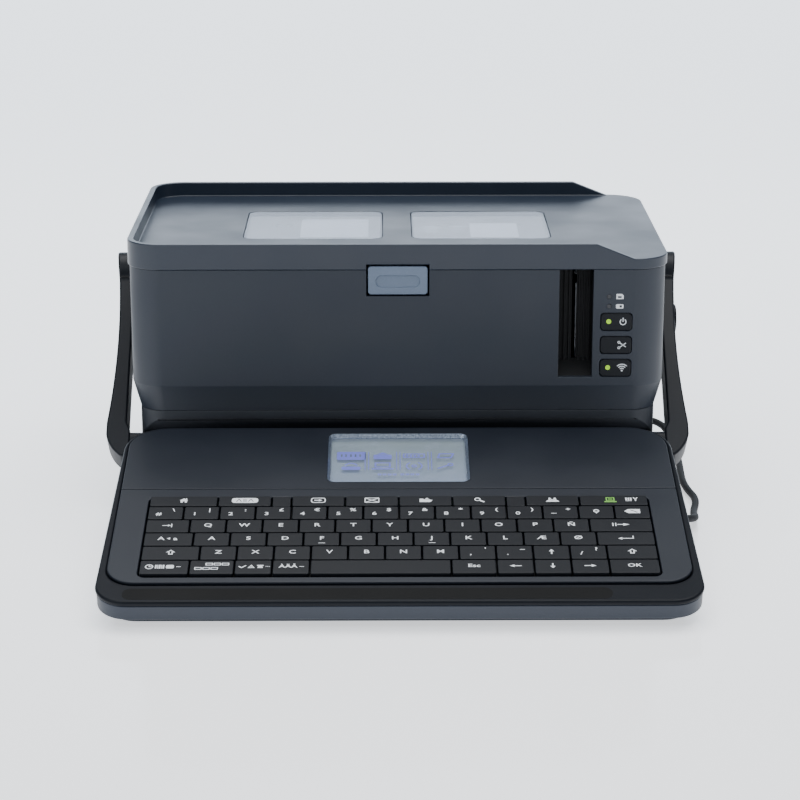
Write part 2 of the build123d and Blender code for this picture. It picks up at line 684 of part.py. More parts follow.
# ---- Latch ----
with BuildPart() as latch_button:
    latch_face = body_front - 0.3
    latch_z = (latch_low + latch_high) / 2
    with BuildSketch(Plane.XZ.offset(-(latch_face + latch_thickness))):
        with Locations((0, latch_z)):
            RectangleRounded(2 * latch_half_width, latch_high - latch_low, 1.7)
    extrude(amount=latch_thickness)
    fillet(latch_button.faces().sort_by(Axis.Y)[0].edges(), 0.5)
    # A shallow oval dimple for the fingertip.
    with BuildSketch(Plane.XZ.offset(-(latch_face + 0.8))):
        with Locations((0, latch_z - 0.5)):
            SlotOverall(23.4, 6.5)
    extrude(amount=4, mode=Mode.SUBTRACT)
    cuboid((-7, 7), (latch_face + latch_thickness - 0.1, latch_face + 8), (123.5, 131.5))
save(latch_button, "latch_button")

with BuildPart() as latch_spring:
    spring_front = latch_face + 8
    spring_rear = spring_front + 7
    for leaf_z in (124.5, 129.3):
        with BuildSketch(Plane.XY.offset(leaf_z)):
            with BuildLine():
                Polyline((-6, spring_rear), (-6, spring_rear - 0.5),
                         (-0.6, spring_front), (0.6, spring_front),
                         (6, spring_rear - 0.5), (6, spring_rear), close=True)
            make_face()
            with BuildLine():
                Polyline((-4.6, spring_rear + 0.1), (0, spring_front + 0.9), (4.6, spring_rear + 0.1),
                         close=True)
            make_face(mode=Mode.SUBTRACT)
        extrude(amount=1.4)
save(latch_spring, "latch_spring")

# ---- Cover ----
with BuildPart() as top_cover:
    plan_block(cover_width, (0, printer_depth), (seam_height, overall_height), cover_corner)
    plan_block(cover_width - 2 * rim_wall, (rim_wall, printer_depth - rim_wall),
               (deck_height, overall_height + 1), cover_corner - rim_wall, Mode.SUBTRACT)
    # The rim ramps down to the deck near the right end, which is open.
    with BuildSketch(Plane.XZ.offset(-printer_depth - 1)):
        with BuildLine():
            Polyline((ramp_top_x, overall_height), (ramp_foot_x, deck_height),
                     (cover_width / 2 + 1, deck_height),
                     (cover_width / 2 + 1, overall_height + 1), (ramp_top_x, overall_height + 1), close=True)
        make_face()
    extrude(amount=printer_depth + 2, mode=Mode.SUBTRACT)
    plan_block(cover_width - 2 * wall, (wall, printer_depth - wall), (seam_height - 1, deck_underside),
               cover_corner - wall, Mode.SUBTRACT)
    for side_sign in (-1, 1):
        middle = (side_sign * sum(window_x) / 2, sum(window_y) / 2)
        size = (window_x[1] - window_x[0], window_y[1] - window_y[0])
        with BuildSketch(Plane.XY.offset(deck_height - window_thickness)):
            with Locations(middle):
                RectangleRounded(*size, window_corner)
        extrude(amount=window_thickness + 1, mode=Mode.SUBTRACT)
        with BuildSketch(Plane.XY.offset(deck_underside - 1)):
            with Locations(middle):
                RectangleRounded(size[0] - 2 * window_ledge, size[1] - 2 * window_ledge,
                                 window_corner - window_ledge)
        extrude(amount=deck_thickness + 2, mode=Mode.SUBTRACT)
    # Notch over the latch button, and two catch hooks behind it.
    cuboid((-latch_hole, latch_hole), (-1, wall + 0.1), (seam_height - 1, latch_high + latch_gap),
           Mode.SUBTRACT)
    for side_sign in (-1, 1):
        hook_x = sorted((side_sign * 9.5, side_sign * 13.5))
        cuboid(hook_x, (8, 10.5), (129.6, deck_underside + 0.2))
        cuboid(hook_x, (6.6, 8), (129.6, 131.4))
    # Hinge barrels along the back, with notches for the body's ears between them.
    for x in [s * c for s in (-1, 1) for c in ear_centres]:
        cuboid((x - ear_width / 2 - barrel_gap, x + ear_width / 2 + barrel_gap),
               (hinge_y - 8, printer_depth + 1), (seam_height - 1, hinge_z + barrel_radius + notch_clearance),
               Mode.SUBTRACT)
    barrel_ends = (ear_centres[0] + ear_width / 2 + barrel_gap, ear_centres[1] - ear_width / 2 - barrel_gap)
    for side_sign in (-1, 1):
        rod((side_sign * sum(barrel_ends) / 2, hinge_y, hinge_z), barrel_radius,
            barrel_ends[1] - barrel_ends[0], "x")
        rod((side_sign * sum(barrel_ends) / 2, hinge_y, hinge_z), hinge_pin_radius + hinge_clearance,
            barrel_ends[1] - barrel_ends[0] + 1, "x", Mode.SUBTRACT)
    middle_half = ear_centres[0] - ear_width / 2 - barrel_gap
    rod((0, hinge_y, hinge_z), barrel_radius, 2 * middle_half, "x")
save(top_cover, "top_cover")

with BuildPart() as cover_windows:
    for side_sign in (-1, 1):
        with BuildSketch(Plane.XY.offset(deck_height - window_thickness)):
            with Locations((side_sign * sum(window_x) / 2, sum(window_y) / 2)):
                RectangleRounded(window_x[1] - window_x[0] - 2 * window_gap,
                                 window_y[1] - window_y[0] - 2 * window_gap, window_corner - window_gap)
        extrude(amount=window_thickness - 0.1)
save(cover_windows, "cover_windows")

# ================= Handle =================
fold = radians(fold_angle)
outward = Vector(0, -sin(fold), -cos(fold))
forward = Vector(0, -cos(fold), sin(fold))
pivot = Vector(0, pivot_y, pivot_z)
# Seen from the side: local x runs across the arm, local y along it, away from the pivot.
arm_side = Plane(origin=pivot, x_dir=forward, z_dir=(1, 0, 0))
# Seen square to the arm: local x is the object's X, local y runs up the arm to the pivot.
arm_face = Plane(origin=pivot, x_dir=(1, 0, 0), z_dir=forward)

with BuildPart() as handle_arm_right:
    with BuildSketch(arm_side.offset(grip_half_length)):
        Circle(boss_radius)
        with BuildLine():
            Polyline((-arm_half_depth + 0.8, 0), (arm_half_depth - 0.8, 0), (arm_half_depth, arm_end + 1),
                     (-arm_half_depth, arm_end + 1), close=True)
        make_face()
    extrude(amount=arm_outer - grip_half_length)
    with BuildSketch(arm_face.offset(-2 * boss_radius)):
        with BuildLine():
            ThreePointArc((arm_outer, boss_radius + 2), (arm_waist, -43), (arm_outer, -100))
            ThreePointArc((arm_outer, -100), (arm_outer - 3.4, -arm_end + 5.5), (arm_inner + 2, -arm_end))
            Polyline((arm_inner + 2, -arm_end), (grip_half_length, -arm_end + 1.5),
                     (grip_half_length, -grip_inner + 0.5), (arm_inner, -grip_inner + 5),
                     (arm_inner, boss_radius + 2), (arm_outer, boss_radius + 2))
        make_face()
    extrude(amount=4 * boss_radius, mode=Mode.INTERSECT)
    rod((arm_inner + pivot_pin_reach / 2, pivot_y, pivot_z), pivot_pin_radius + pivot_clearance,
        pivot_pin_reach + 0.6, "x", Mode.SUBTRACT)
save(handle_arm_right, "handle_arm_right")

with BuildPart() as handle_arm_left:
    mirror(handle_arm_right.part, about=Plane.YZ)
save(handle_arm_left, "handle_arm_left")

with BuildPart() as handle_grip:
    with BuildSketch(arm_side.offset(-grip_half_length)):
        with Locations((0, (grip_inner + grip_outer) / 2)):
            RectangleRounded(2 * arm_half_depth, grip_outer - grip_inner, grip_corner)
    extrude(amount=2 * grip_half_length)
save(handle_grip, "handle_grip")

# ================= Keyboard unit =================
# Local x is the object's X, local y runs up the slope, and the offset is square to the top face.
top_face = Plane(origin=(0, keyboard_front, keyboard_front_height), x_dir=(1, 0, 0),
                 z_dir=(0, -sin(slope), cos(slope)))


def sloped_plate(low, high, halves, s, corners, mode=Mode.ADD):
    """A rounded plate between two heights over the top face; each pair gives its front and rear value."""
    with BuildSketch(top_face.offset(low)) as plate:
        with BuildLine():
            Polyline((-halves[0], s[0]), (halves[0], s[0]), (halves[1], s[1]), (-halves[1], s[1]), close=True)
        make_face()
        fillet(plate.vertices().group_by(Axis.Y)[0], corners[0])
        fillet(plate.vertices().group_by(Axis.Y)[-1], corners[1])
    extrude(plate.sketch, amount=high - low, mode=mode)


def slab(low, high, inset, mode=Mode.ADD):
    """A plate of the whole keyboard's outline, less an inset."""
    sloped_plate(low, high, (front_half_width - inset, rear_half_width - inset),
                 (inset, slope_length - inset), (front_corner - inset, rear_corner - inset), mode)


def panel_area(low, high, inset, mode=Mode.ADD):
    """A plate of the raised panels' common outline, less an inset."""
    sloped_plate(low, high, (panel_half_width - inset, panel_half_width - inset),
                 (panel_front + inset, panel_rear - inset),
                 (panel_front_corner - inset, panel_rear_corner - inset), mode)


def panel_plate(s, low, high, half_width, corner, mode=Mode.ADD):
    """A rounded rectangular plate on the slope, between two distances up it."""
    sloped_plate(low, high, (half_width, half_width), s, (corner, corner), mode)


pan_y = (keyboard_front + 8.0, keyboard_front + slope_length * cos(slope) - 5.0)
pan_half = rear_half_width - pan_inset
foot_spots = [(x, y) for x in (-pan_half + 16, pan_half - 16) for y in (pan_y[0] + 14, pan_y[1] - 14)]
kb_screw_spots = [(x, y) for x in (-pan_half + 10, 0, pan_half - 10) for y in (pan_y[0] + 34, pan_y[1] - 34)]
kb_gland_y, kb_gland_z = cable_points[-1][1:]
kb_gland_reach = 4.9

with BuildPart() as keyboard_case:
    plan_block(2 * pan_half, pan_y, (pan_floor, 70), 12)
    with BuildSketch(top_face.offset(-band_depth)):
        with Locations((0, slope_length / 2)):
            Rectangle(400, 260)
    extrude(amount=90, mode=Mode.SUBTRACT)
    slab(-band_depth, -frame_thickness, band_inset)
    slab(-band_depth + band_wall, -frame_thickness + 1, band_inset + band_wall, Mode.SUBTRACT)
    plan_block(2 * (pan_half - band_wall), (pan_y[0] + band_wall, pan_y[1] - band_wall),
               (pan_floor + band_wall, 70), 10, Mode.SUBTRACT)
    for x, y in kb_screw_spots:
        rod((x, y, pan_floor + 1.2), 1.5, 6, "z", Mode.SUBTRACT)
        rod((x, y, pan_floor + 0.6), 3.0, 1.2, "z", Mode.SUBTRACT)
    rod((pan_half, kb_gland_y, kb_gland_z), gland_radius, 10, "x", Mode.SUBTRACT)
save(keyboard_case, "keyboard_case")

with BuildPart() as keyboard_feet:
    for x, y in foot_spots:
        rod((x, y, pan_floor / 2), 6, pan_floor, "z")
save(keyboard_feet, "keyboard_feet")

with BuildPart() as keyboard_screws:
    for x, y in kb_screw_spots:
        rod((x, y, pan_floor + 0.7), 2.8, 1.0, "z")
        rod((x, y, pan_floor + 3.0), 1.4, 4.6, "z")
save(keyboard_screws, "keyboard_screws")

with BuildPart() as keyboard_gland:
    rod((pan_half - 2, kb_gland_y, kb_gland_z), gland_radius, 4, "x")
    with BuildSketch(Plane.YZ.offset(pan_half)):
        with Locations((kb_gland_y, kb_gland_z)):
            Circle(4.4)
    with BuildSketch(Plane.YZ.offset(pan_half + kb_gland_reach)):
        with Locations((kb_gland_y, kb_gland_z)):
            Circle(cable_diameter / 2 + 0.5)
    loft()
save(keyboard_gland, "keyboard_gland")

panel_opening = 4.0
with BuildPart() as keyboard_frame:
    slab(-frame_thickness, 0, 0)
    panel_area(-panel_recess, 1, 0, Mode.SUBTRACT)
    panel_area(-frame_thickness - 1, 1, panel_opening, Mode.SUBTRACT)
save(keyboard_frame, "keyboard_frame")


def half_panel(s_cut, opening_s, opening_half, opening_corner):
    """One of the two raised panels: the part of the rounded panel within s_cut, with its opening."""
    with BuildPart() as panel:
        panel_area(-panel_recess, panel_proud, panel_gap)
        with BuildSketch(top_face.offset(-panel_recess - 1)):
            with Locations((0, sum(s_cut) / 2)):
                Rectangle(3 * panel_half_width, s_cut[1] - s_cut[0])
        extrude(amount=panel_recess + panel_proud + 2, mode=Mode.INTERSECT)
        panel_plate(opening_s, -panel_recess - 1, panel_proud + 1, opening_half, opening_corner,
                    Mode.SUBTRACT)
    return panel


display_panel = half_panel((panel_split + panel_gap / 2, panel_rear + 5), display_s, display_half_width,
                           display_corner)
save(display_panel, "display_panel")
key_bezel = half_panel((panel_front - 5, panel_split - panel_gap / 2),
                       (key_zone[0] - key_gap, key_zone[1] + key_gap), key_half_width + key_gap, 4.0)
save(key_bezel, "key_bezel")

with BuildPart() as lcd_window:
    panel_plate((display_s[0] - 1.5, display_s[1] + 1.5), -panel_recess - 1.5, -panel_recess,
                display_half_width + 1.5, display_corner)
save(lcd_window, "lcd_window")

with BuildPart() as lcd_module:
    panel_plate((display_s[0] - 1.0, display_s[1] + 1.0), -panel_recess - 5.0, -panel_recess - 1.6,
                display_half_width + 1.0, display_corner)
save(lcd_module, "lcd_module")

board_half = key_half_width - 5.5
with BuildPart() as key_board:
    panel_plate((key_zone[0], panel_rear - 6), -band_depth + band_wall, -band_depth + band_wall + 1.4,
                board_half, 3.0)
save(key_board, "key_board")

with BuildPart() as key_mat:
    mat_low = -band_depth + band_wall + 1.4
    panel_plate(key_zone, mat_low, mat_low + 2.0, board_half, 3.0)
save(key_mat, "key_mat")

# ---- Keys, row by row from the front ----
row_limits = {
    "keys_bottom": (20.5, 33.2),
    "keys_lower": (33.2, 45.9),
    "keys_home": (45.9, 58.2),
    "keys_upper": (58.2, 70.5),
    "keys_number": (70.5, 83.0),
    "keys_function": (83.0, 93.2),
}
number_keys = 14
letter_keys = 11
left_of_space = [24.1, 21.7, 18.2, 18.2]
right_of_space = [21.9, 18.0, 18.0, 18.3, 24.4]
function_widths = [34.4, 27.1, 9.9, 27.0, 27.0, 27.0, 27.0, 9.9, 27.1]


def rest_of_row(*taken):
    """The width that is left in a row of keys."""
    return key_row_width - sum(taken)


def letter_row(first):
    """A first key, the letter keys, and a last key that fills the row."""
    letters = [letter_pitch] * letter_keys
    return [first] + letters + [rest_of_row(first, *letters)]


row_widths = {
    "keys_bottom": left_of_space + [rest_of_row(*left_of_space, *right_of_space)] + right_of_space,
    "keys_lower": letter_row(28.4),
    "keys_home": letter_row(24.4),
    "keys_upper": letter_row(21.8),
    "keys_number": [key_row_width / number_keys] * number_keys,
    "keys_function": function_widths + [rest_of_row(*function_widths)],
}
space_index = len(left_of_space)
filler_indexes = (2, 7)
enter_index = 12
print_index = len(function_widths)
key_corner = 1.0
key_taper = 1.5


def key_cell(row, index):
    """The middle and the size of one key's cell on the slope."""
    widths = row_widths[row]
    start = -sum(widths) / 2 + sum(widths[:index])
    low, high = row_limits[row]
    return (start + widths[index] / 2, (low + high) / 2), (widths[index], high - low)


def keys(cells, top=key_top):
    """Separate key caps on the slope, one for each (row, index)."""
    with BuildPart() as caps:
        for row, index in cells:
            middle, size = key_cell(row, index)
            with BuildSketch(top_face.offset(key_bottom)):
                with Locations(middle):
                    RectangleRounded(size[0] - key_gap, size[1] - key_gap, key_corner)
            extrude(amount=top - key_bottom, taper=key_taper)
    return caps


single_keys = {"space_key": ("keys_bottom", space_index), "enter_key": ("keys_home", enter_index),
               "print_key": ("keys_function", print_index)}
fixed_cells = [("keys_function", index) for index in filler_indexes]
for row, widths in row_widths.items():
    taken = list(single_keys.values()) + fixed_cells
    cells = [(row, index) for index in range(len(widths)) if (row, index) not in taken]
    save(keys(cells), row)
for name, cell in single_keys.items():
    save(keys([cell]), name)
save(keys(fixed_cells, key_top - 0.4), "key_fillers")

# ---- Cable ----


def cable_radii(points):
    """The largest tangent arc at each inner point that its two runs allow."""
    radii = []
    for before, point, after in zip(points, points[1:], points[2:]):
        run_in = Vector(*point) - Vector(*before)
        run_out = Vector(*after) - Vector(*point)
        half_turn = radians(run_in.get_angle(run_out)) / 2
        radii.append(0.45 * min(run_in.length, run_out.length) / tan(half_turn))
    return radii


radii = cable_radii(cable_points)
print("cable radii", [round(r, 1) for r in radii])
with BuildPart() as cable:
    with BuildLine() as route:
        FilletPolyline(*cable_points, radius=radii)
    path = route.wires()[0]
    with BuildSketch(Plane(origin=path @ 0, z_dir=path % 0)):
        Circle(cable_diameter / 2)
    sweep(path=path)
tube_volume = pi * cable_diameter ** 2 / 4 * path.length
print("cable length", round(path.length, 1), "volume ratio", round(cable.part.volume / tube_volume, 4))
save(cable, "cable")
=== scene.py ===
import json
from math import cos, hypot, pi, radians, sin

import bmesh
import bpy
from mathutils import Matrix, Vector
from mathutils.bvhtree import BVHTree

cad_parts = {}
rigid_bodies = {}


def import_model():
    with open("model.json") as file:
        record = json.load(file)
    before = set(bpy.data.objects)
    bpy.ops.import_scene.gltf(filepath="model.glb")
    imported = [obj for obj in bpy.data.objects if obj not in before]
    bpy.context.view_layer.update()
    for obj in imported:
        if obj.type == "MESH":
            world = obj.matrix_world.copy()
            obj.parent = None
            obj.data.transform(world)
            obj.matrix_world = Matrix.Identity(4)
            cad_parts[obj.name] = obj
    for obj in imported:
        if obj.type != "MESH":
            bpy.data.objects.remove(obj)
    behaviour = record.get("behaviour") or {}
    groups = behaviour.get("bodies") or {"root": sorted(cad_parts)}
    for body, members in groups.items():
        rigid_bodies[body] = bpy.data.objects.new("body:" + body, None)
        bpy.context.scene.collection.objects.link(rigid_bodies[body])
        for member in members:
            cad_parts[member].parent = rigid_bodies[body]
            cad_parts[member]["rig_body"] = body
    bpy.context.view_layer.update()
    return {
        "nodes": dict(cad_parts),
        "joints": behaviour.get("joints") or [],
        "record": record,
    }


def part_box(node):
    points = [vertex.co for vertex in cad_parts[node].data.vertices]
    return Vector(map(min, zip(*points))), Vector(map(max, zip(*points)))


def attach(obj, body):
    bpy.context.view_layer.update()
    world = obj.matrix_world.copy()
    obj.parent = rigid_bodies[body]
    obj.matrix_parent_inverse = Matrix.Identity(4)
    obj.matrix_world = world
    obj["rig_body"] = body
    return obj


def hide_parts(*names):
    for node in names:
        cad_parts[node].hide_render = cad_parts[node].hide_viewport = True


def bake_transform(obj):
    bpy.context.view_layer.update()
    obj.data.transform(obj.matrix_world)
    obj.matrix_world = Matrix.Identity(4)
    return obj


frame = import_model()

# The looks of a desktop label maker: a printer unit with a tray cover and a folded handle, and a sloping
# keyboard unit joined to it by a short cable. Blender's units are metres; MM turns millimetres into them.
MM = 0.001
X_AXIS, Y_AXIS, Z_AXIS = Vector((1, 0, 0)), Vector((0, 1, 0)), Vector((0, 0, 1))
collection = bpy.context.scene.collection


def link(name, data):
    piece = bpy.data.objects.new(name, data)
    collection.objects.link(piece)
    return piece


# ---- Camera ----
camera_place = (-0.0078, -1.2328, 0.4243)
camera_pitch = 16.294
camera_yaw = 0.416
camera_lens = 108.0

camera_data = bpy.data.cameras.new("camera")
camera_data.lens = camera_lens
camera_data.sensor_width = 36.0
camera_data.clip_start = 0.05
camera_data.clip_end = 40.0
camera = link("camera", camera_data)
camera.location = camera_place
camera.rotation_euler = (radians(90 - camera_pitch), 0, radians(-camera_yaw))
bpy.context.scene.camera = camera


# ---- Colours and materials ----
def linear(red, green, blue):
    """A display colour from 0 to 255 as linear light."""
    out = []
    for value in (red, green, blue):
        share = value / 255
        out.append(share / 12.92 if share <= 0.04045 else ((share + 0.055) / 1.055) ** 2.4)
    return (*out, 1.0)


class Finish:
    """A procedural material: one Principled shader and the nodes that feed it."""

    def __init__(self, name):
        self.material = bpy.data.materials.new(name)
        self.material.use_nodes = True
        self.nodes = self.material.node_tree.nodes
        self.links = self.material.node_tree.links
        self.shader = self.nodes["Principled BSDF"]
        self.place = self.nodes.new("ShaderNodeTexCoord").outputs["Object"]

    def add(self, kind, wires=None, **settings):
        made = self.nodes.new(kind)
        for key, value in settings.items():
            setattr(made, key, value)
        for socket, value in (wires or {}).items():
            if isinstance(value, bpy.types.NodeSocket):
                self.links.new(value, made.inputs[socket])
            else:
                made.inputs[socket].default_value = value
        return made

    def set(self, **sockets):
        for key, value in sockets.items():
            socket = self.shader.inputs[key.replace("_", " ")]
            if isinstance(value, bpy.types.NodeSocket):
                self.links.new(value, socket)
            else:
                socket.default_value = value
        return self

    def noise(self, size_mm, detail=3.0, rough=0.55, stretch=(1, 1, 1)):
        """Noise with features of about size_mm; stretch above 1 draws it out along an axis."""
        place = self.place
        if tuple(stretch) != (1, 1, 1):
            scale = tuple(1 / s for s in stretch)
            place = self.add("ShaderNodeMapping", {"Vector": place, "Scale": scale}).outputs[0]
        made = self.add("ShaderNodeTexNoise", {"Vector": place, "Scale": 1 / (size_mm * MM), "Detail": detail,
                                               "Roughness": rough})
        return made.outputs["Fac"]

    def mix(self, factor, first, second):
        made = self.add("ShaderNodeMix", {0: factor}, data_type="RGBA")
        for index, value in ((6, first), (7, second)):
            if isinstance(value, bpy.types.NodeSocket):
                self.links.new(value, made.inputs[index])
            else:
                made.inputs[index].default_value = value
        return made.outputs[2]

    def span(self, value, low, high, start=0.3, stop=0.7):
        """value, from start to stop, spread to low to high."""
        made = self.add("ShaderNodeMapRange", {0: value, 1: start, 2: stop, 3: low, 4: high})
        return made.outputs[0]

    def bump(self, height, strength, distance_mm, normal=None):
        wires = {"Height": height, "Strength": strength, "Distance": distance_mm * MM}
        if normal is not None:
            wires["Normal"] = normal
        return self.add("ShaderNodeBump", wires).outputs["Normal"]


def shade(colour, factor):
    return (*[min(1.0, channel * factor) for channel in colour[:3]], 1.0)


def moulded(name, colour, roughness, grain_mm=0.45, grain=0.35, drift=0.14, sheen_spread=0.08, gloss=0.5):
    """Injection-moulded plastic: a fine spark-eroded grain, faint flow patches and uneven gloss."""
    finish = Finish(name)
    patches = finish.noise(38, 2.0)
    dust = finish.noise(1.1, 4.0, 0.7)
    tone = finish.mix(finish.span(patches, 0, 1), shade(colour, 1 - drift), shade(colour, 1 + drift))
    speck = finish.mix(finish.span(dust, 0, 0.35, 0.5, 0.8), tone, shade(colour, 1.5))
    grain_height = finish.noise(grain_mm, 2.0, 0.6)
    pebble = finish.add("ShaderNodeTexVoronoi", {"Vector": finish.place, "Scale": 1 / (grain_mm * 1.6 * MM)})
    rough = finish.span(patches, roughness - sheen_spread / 2, roughness + sheen_spread / 2)
    fine = finish.bump(grain_height, grain, 0.03)
    finish.set(Base_Color=speck, Roughness=rough, Specular_IOR_Level=gloss,
               Normal=finish.bump(pebble.outputs["Distance"], grain * 0.6, 0.02, fine))
    return finish.material


def worked_metal(name, colour, roughness, stretch=(1, 1, 12)):
    """Machined metal with fine lines along one axis and a few darker tarnished patches."""
    finish = Finish(name)
    lines = finish.noise(0.25, 3.0, 0.7, stretch)
    patches = finish.noise(6, 3.0)
    tone = finish.mix(finish.span(patches, 0, 1), shade(colour, 0.8), shade(colour, 1.08))
    finish.set(Base_Color=tone, Metallic=1.0, Roughness=finish.span(lines, roughness - 0.08, roughness + 0.12),
               Normal=finish.bump(lines, 0.25, 0.01))
    return finish.material


def soft_rubber(name, colour):
    finish = Finish(name)
    dust = finish.noise(0.8, 5.0, 0.75)
    tone = finish.mix(finish.span(dust, 0, 0.5, 0.45, 0.8), colour, shade(colour, 2.2))
    finish.set(Base_Color=tone, Roughness=finish.span(dust, 0.62, 0.85),
               Normal=finish.bump(finish.noise(0.3, 2.0), 0.3, 0.03))
    return finish.material


def printed_ink(name, colour):
    """Pad-printed ink: slightly uneven cover with a matte surface."""
    finish = Finish(name)
    cover = finish.noise(0.35, 3.0, 0.6)
    finish.set(Base_Color=finish.mix(finish.span(cover, 0, 1), shade(colour, 0.86), colour),
               Roughness=finish.span(cover, 0.45, 0.6), Normal=finish.bump(cover, 0.12, 0.01))
    return finish.material


def circuit_board(name):
    """Green solder mask with faint traces of copper under it."""
    finish = Finish(name)
    traces = finish.add("ShaderNodeTexBrick", {"Vector": finish.place, "Scale": 160.0, "Mortar Size": 0.03,
                                               "Color1": linear(16, 62, 40), "Color2": linear(20, 74, 46),
                                               "Mortar": linear(46, 112, 66)})
    cloud = finish.noise(5, 3.0)
    tone = finish.mix(finish.span(cloud, 0, 0.4), traces.outputs["Color"], linear(10, 44, 30))
    finish.set(Base_Color=tone, Roughness=finish.span(cloud, 0.25, 0.4),
               Normal=finish.bump(traces.outputs["Fac"], 0.2, 0.02))
    return finish.material


def smoked_window(name):
    """Thin clear plastic with a grey-blue tint, a few hair scratches and a bright skin."""
    finish = Finish(name)
    scratches = finish.noise(0.5, 2.0, 0.6, (14, 1, 1))
    haze = finish.noise(24, 3.0)
    finish.set(Base_Color=finish.mix(finish.span(haze, 0, 1), linear(128, 144, 174), linear(144, 160, 192)),
               Roughness=finish.span(haze, 0.16, 0.26), Alpha=0.36, Coat_Weight=1.0, Coat_Roughness=0.08,
               Normal=finish.bump(scratches, 0.05, 0.01))
    return finish.material


def paper_label(name, colour):
    finish = Finish(name)
    fibre = finish.noise(0.7, 5.0, 0.7, (3, 1, 1))
    finish.set(Base_Color=finish.mix(finish.span(fibre, 0, 1), shade(colour, 0.93), colour),
               Roughness=finish.span(fibre, 0.5, 0.65), Normal=finish.bump(fibre, 0.15, 0.02))
    return finish.material


def display_glass(name, low, high):
    """Reflective liquid crystal: greener at the top and bluer at the bottom, over a fine dot grid, with a faint
    painted glow that brightens it where the printer shades it.
    """
    finish = Finish(name)
    parts = finish.add("ShaderNodeSeparateXYZ", {"Vector": finish.place}).outputs
    height = finish.span(parts["Y"], 0, 1, low.y, high.y)
    field = finish.mix(height, linear(206, 218, 228), linear(206, 220, 180))
    cloud = finish.noise(9, 4.0, 0.6)
    field = finish.mix(finish.span(cloud, 0, 0.3), field, linear(214, 222, 226))
    dots = []
    for axis in ("X", "Y"):
        scaled = finish.add("ShaderNodeMath", {0: parts[axis], 1: 1 / (0.42 * MM)}, operation="MULTIPLY")
        dots.append(finish.add("ShaderNodeMath", {0: scaled.outputs[0], 1: 1.0}, operation="PINGPONG").outputs[0])
    grid = finish.add("ShaderNodeMath", {0: dots[0], 1: dots[1]}, operation="MINIMUM").outputs[0]
    dotted = finish.mix(finish.span(grid, 0.16, 0, 0.0, 0.25), field, linear(168, 178, 186))
    # The emission is painted light: a faint glow in the display's own colour that brightens it in the printer's
    # shade.
    finish.set(Base_Color=dotted, Roughness=finish.span(cloud, 0.22, 0.3), Coat_Weight=0.6, Coat_Roughness=0.05,
               Emission_Color=dotted, Emission_Strength=0.14,
               Normal=finish.bump(cloud, 0.03, 0.02))
    return finish.material


def speckled_trim(name):
    """A bright metallised chamfer with a speckled skin."""
    finish = Finish(name)
    specks = finish.noise(0.5, 4.0, 0.8)
    tone = finish.mix(finish.span(specks, 0, 1, 0.42, 0.62), linear(96, 108, 126), linear(196, 206, 220))
    finish.set(Base_Color=tone, Metallic=0.85, Roughness=finish.span(specks, 0.22, 0.45),
               Normal=finish.bump(specks, 0.5, 0.05))
    return finish.material


def lit_lamp(name, colour, strength):
    """A diffused light pipe, brighter in its middle patches."""
    finish = Finish(name)
    cloud = finish.noise(0.8, 2.0)
    finish.set(Base_Color=finish.mix(finish.span(cloud, 0, 1), shade(colour, 0.8), colour), Roughness=0.35,
               Emission_Color=finish.mix(finish.span(cloud, 0, 1), shade(colour, 0.85), colour),
               Emission_Strength=strength)
    return finish.material


def woven_wrap(name):
    """Shrink film round the battery, with a soft crinkle."""
    finish = Finish(name)
    crinkle = finish.noise(7, 5.0, 0.6, (1, 3, 1))
    finish.set(Base_Color=finish.mix(finish.span(crinkle, 0, 1), linear(24, 60, 112), linear(38, 84, 146)),
               Roughness=finish.span(crinkle, 0.2, 0.35), Normal=finish.bump(crinkle, 0.4, 0.2))
    return finish.material


paints = {
    "base_plastic": moulded("base_black", linear(42, 46, 53), 0.6, 0.9, 0.5),
    "body_plastic": moulded("body_blue_grey", linear(29, 37, 49), 0.48, 0.4, 0.2, 0.06),
    "cover_plastic": moulded("cover_blue_grey", linear(32, 41, 54), 0.34, 0.5, 0.12, 0.06),
    "window": smoked_window("cover_window"),
    "battery_wrap": woven_wrap("battery_wrap"),
    "rubber": soft_rubber("black_rubber", linear(22, 23, 25)),
    "steel": worked_metal("bright_steel", linear(178, 182, 188), 0.32),
    "inner_plastic": moulded("inner_grey", linear(52, 56, 62), 0.6, 0.7, 0.3),
    "slot_plastic": moulded("slot_black", linear(11, 12, 15), 0.6, 0.6, 0.2, gloss=0.3),
    "cassette_plastic": moulded("cassette_black", linear(34, 38, 46), 0.42, 0.6, 0.25),
    "head_aluminium": worked_metal("head_aluminium", linear(196, 200, 206), 0.4),
    "gear_plastic": moulded("gear_white", linear(212, 210, 200), 0.45, 0.6, 0.15),
    "brass": worked_metal("brass", linear(196, 160, 88), 0.3),
    "motor_steel": worked_metal("motor_steel", linear(150, 154, 160), 0.38),
    "board": circuit_board("solder_mask"),
    "lamp": moulded("clear_lamp_off", linear(24, 28, 36), 0.18, 0.8, 0.05),
    "key_plastic": moulded("key_satin", linear(15, 18, 24), 0.42, 0.35, 0.1, 0.04, gloss=0.22),
    "latch_plastic": moulded("latch_blue_grey", linear(104, 118, 138), 0.42, 0.45, 0.15, 0.05),
    "port_plastic": moulded("port_black", linear(18, 19, 22), 0.4, 0.6, 0.2),
    "port_metal": worked_metal("port_metal", linear(168, 172, 178), 0.3, (1, 12, 1)),
    "cable_jacket": soft_rubber("cable_jacket", linear(20, 22, 26)),
    "handle_plastic": moulded("handle_black", linear(19, 22, 28), 0.42, 0.5, 0.15, 0.06, gloss=0.2),
    "keyboard_plastic": moulded("keyboard_blue_black", linear(40, 47, 59), 0.42, 0.5, 0.12, 0.06, gloss=0.4),
    "panel_plastic": moulded("panel_blue_grey", linear(26, 31, 40), 0.42, 0.45, 0.12, 0.05, gloss=0.3),
    "display": display_glass("display_glass", *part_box("lcd_window")),
}
white_ink = printed_ink("white_ink", linear(246, 249, 252))
grey_ink = printed_ink("grey_ink", linear(176, 184, 194))
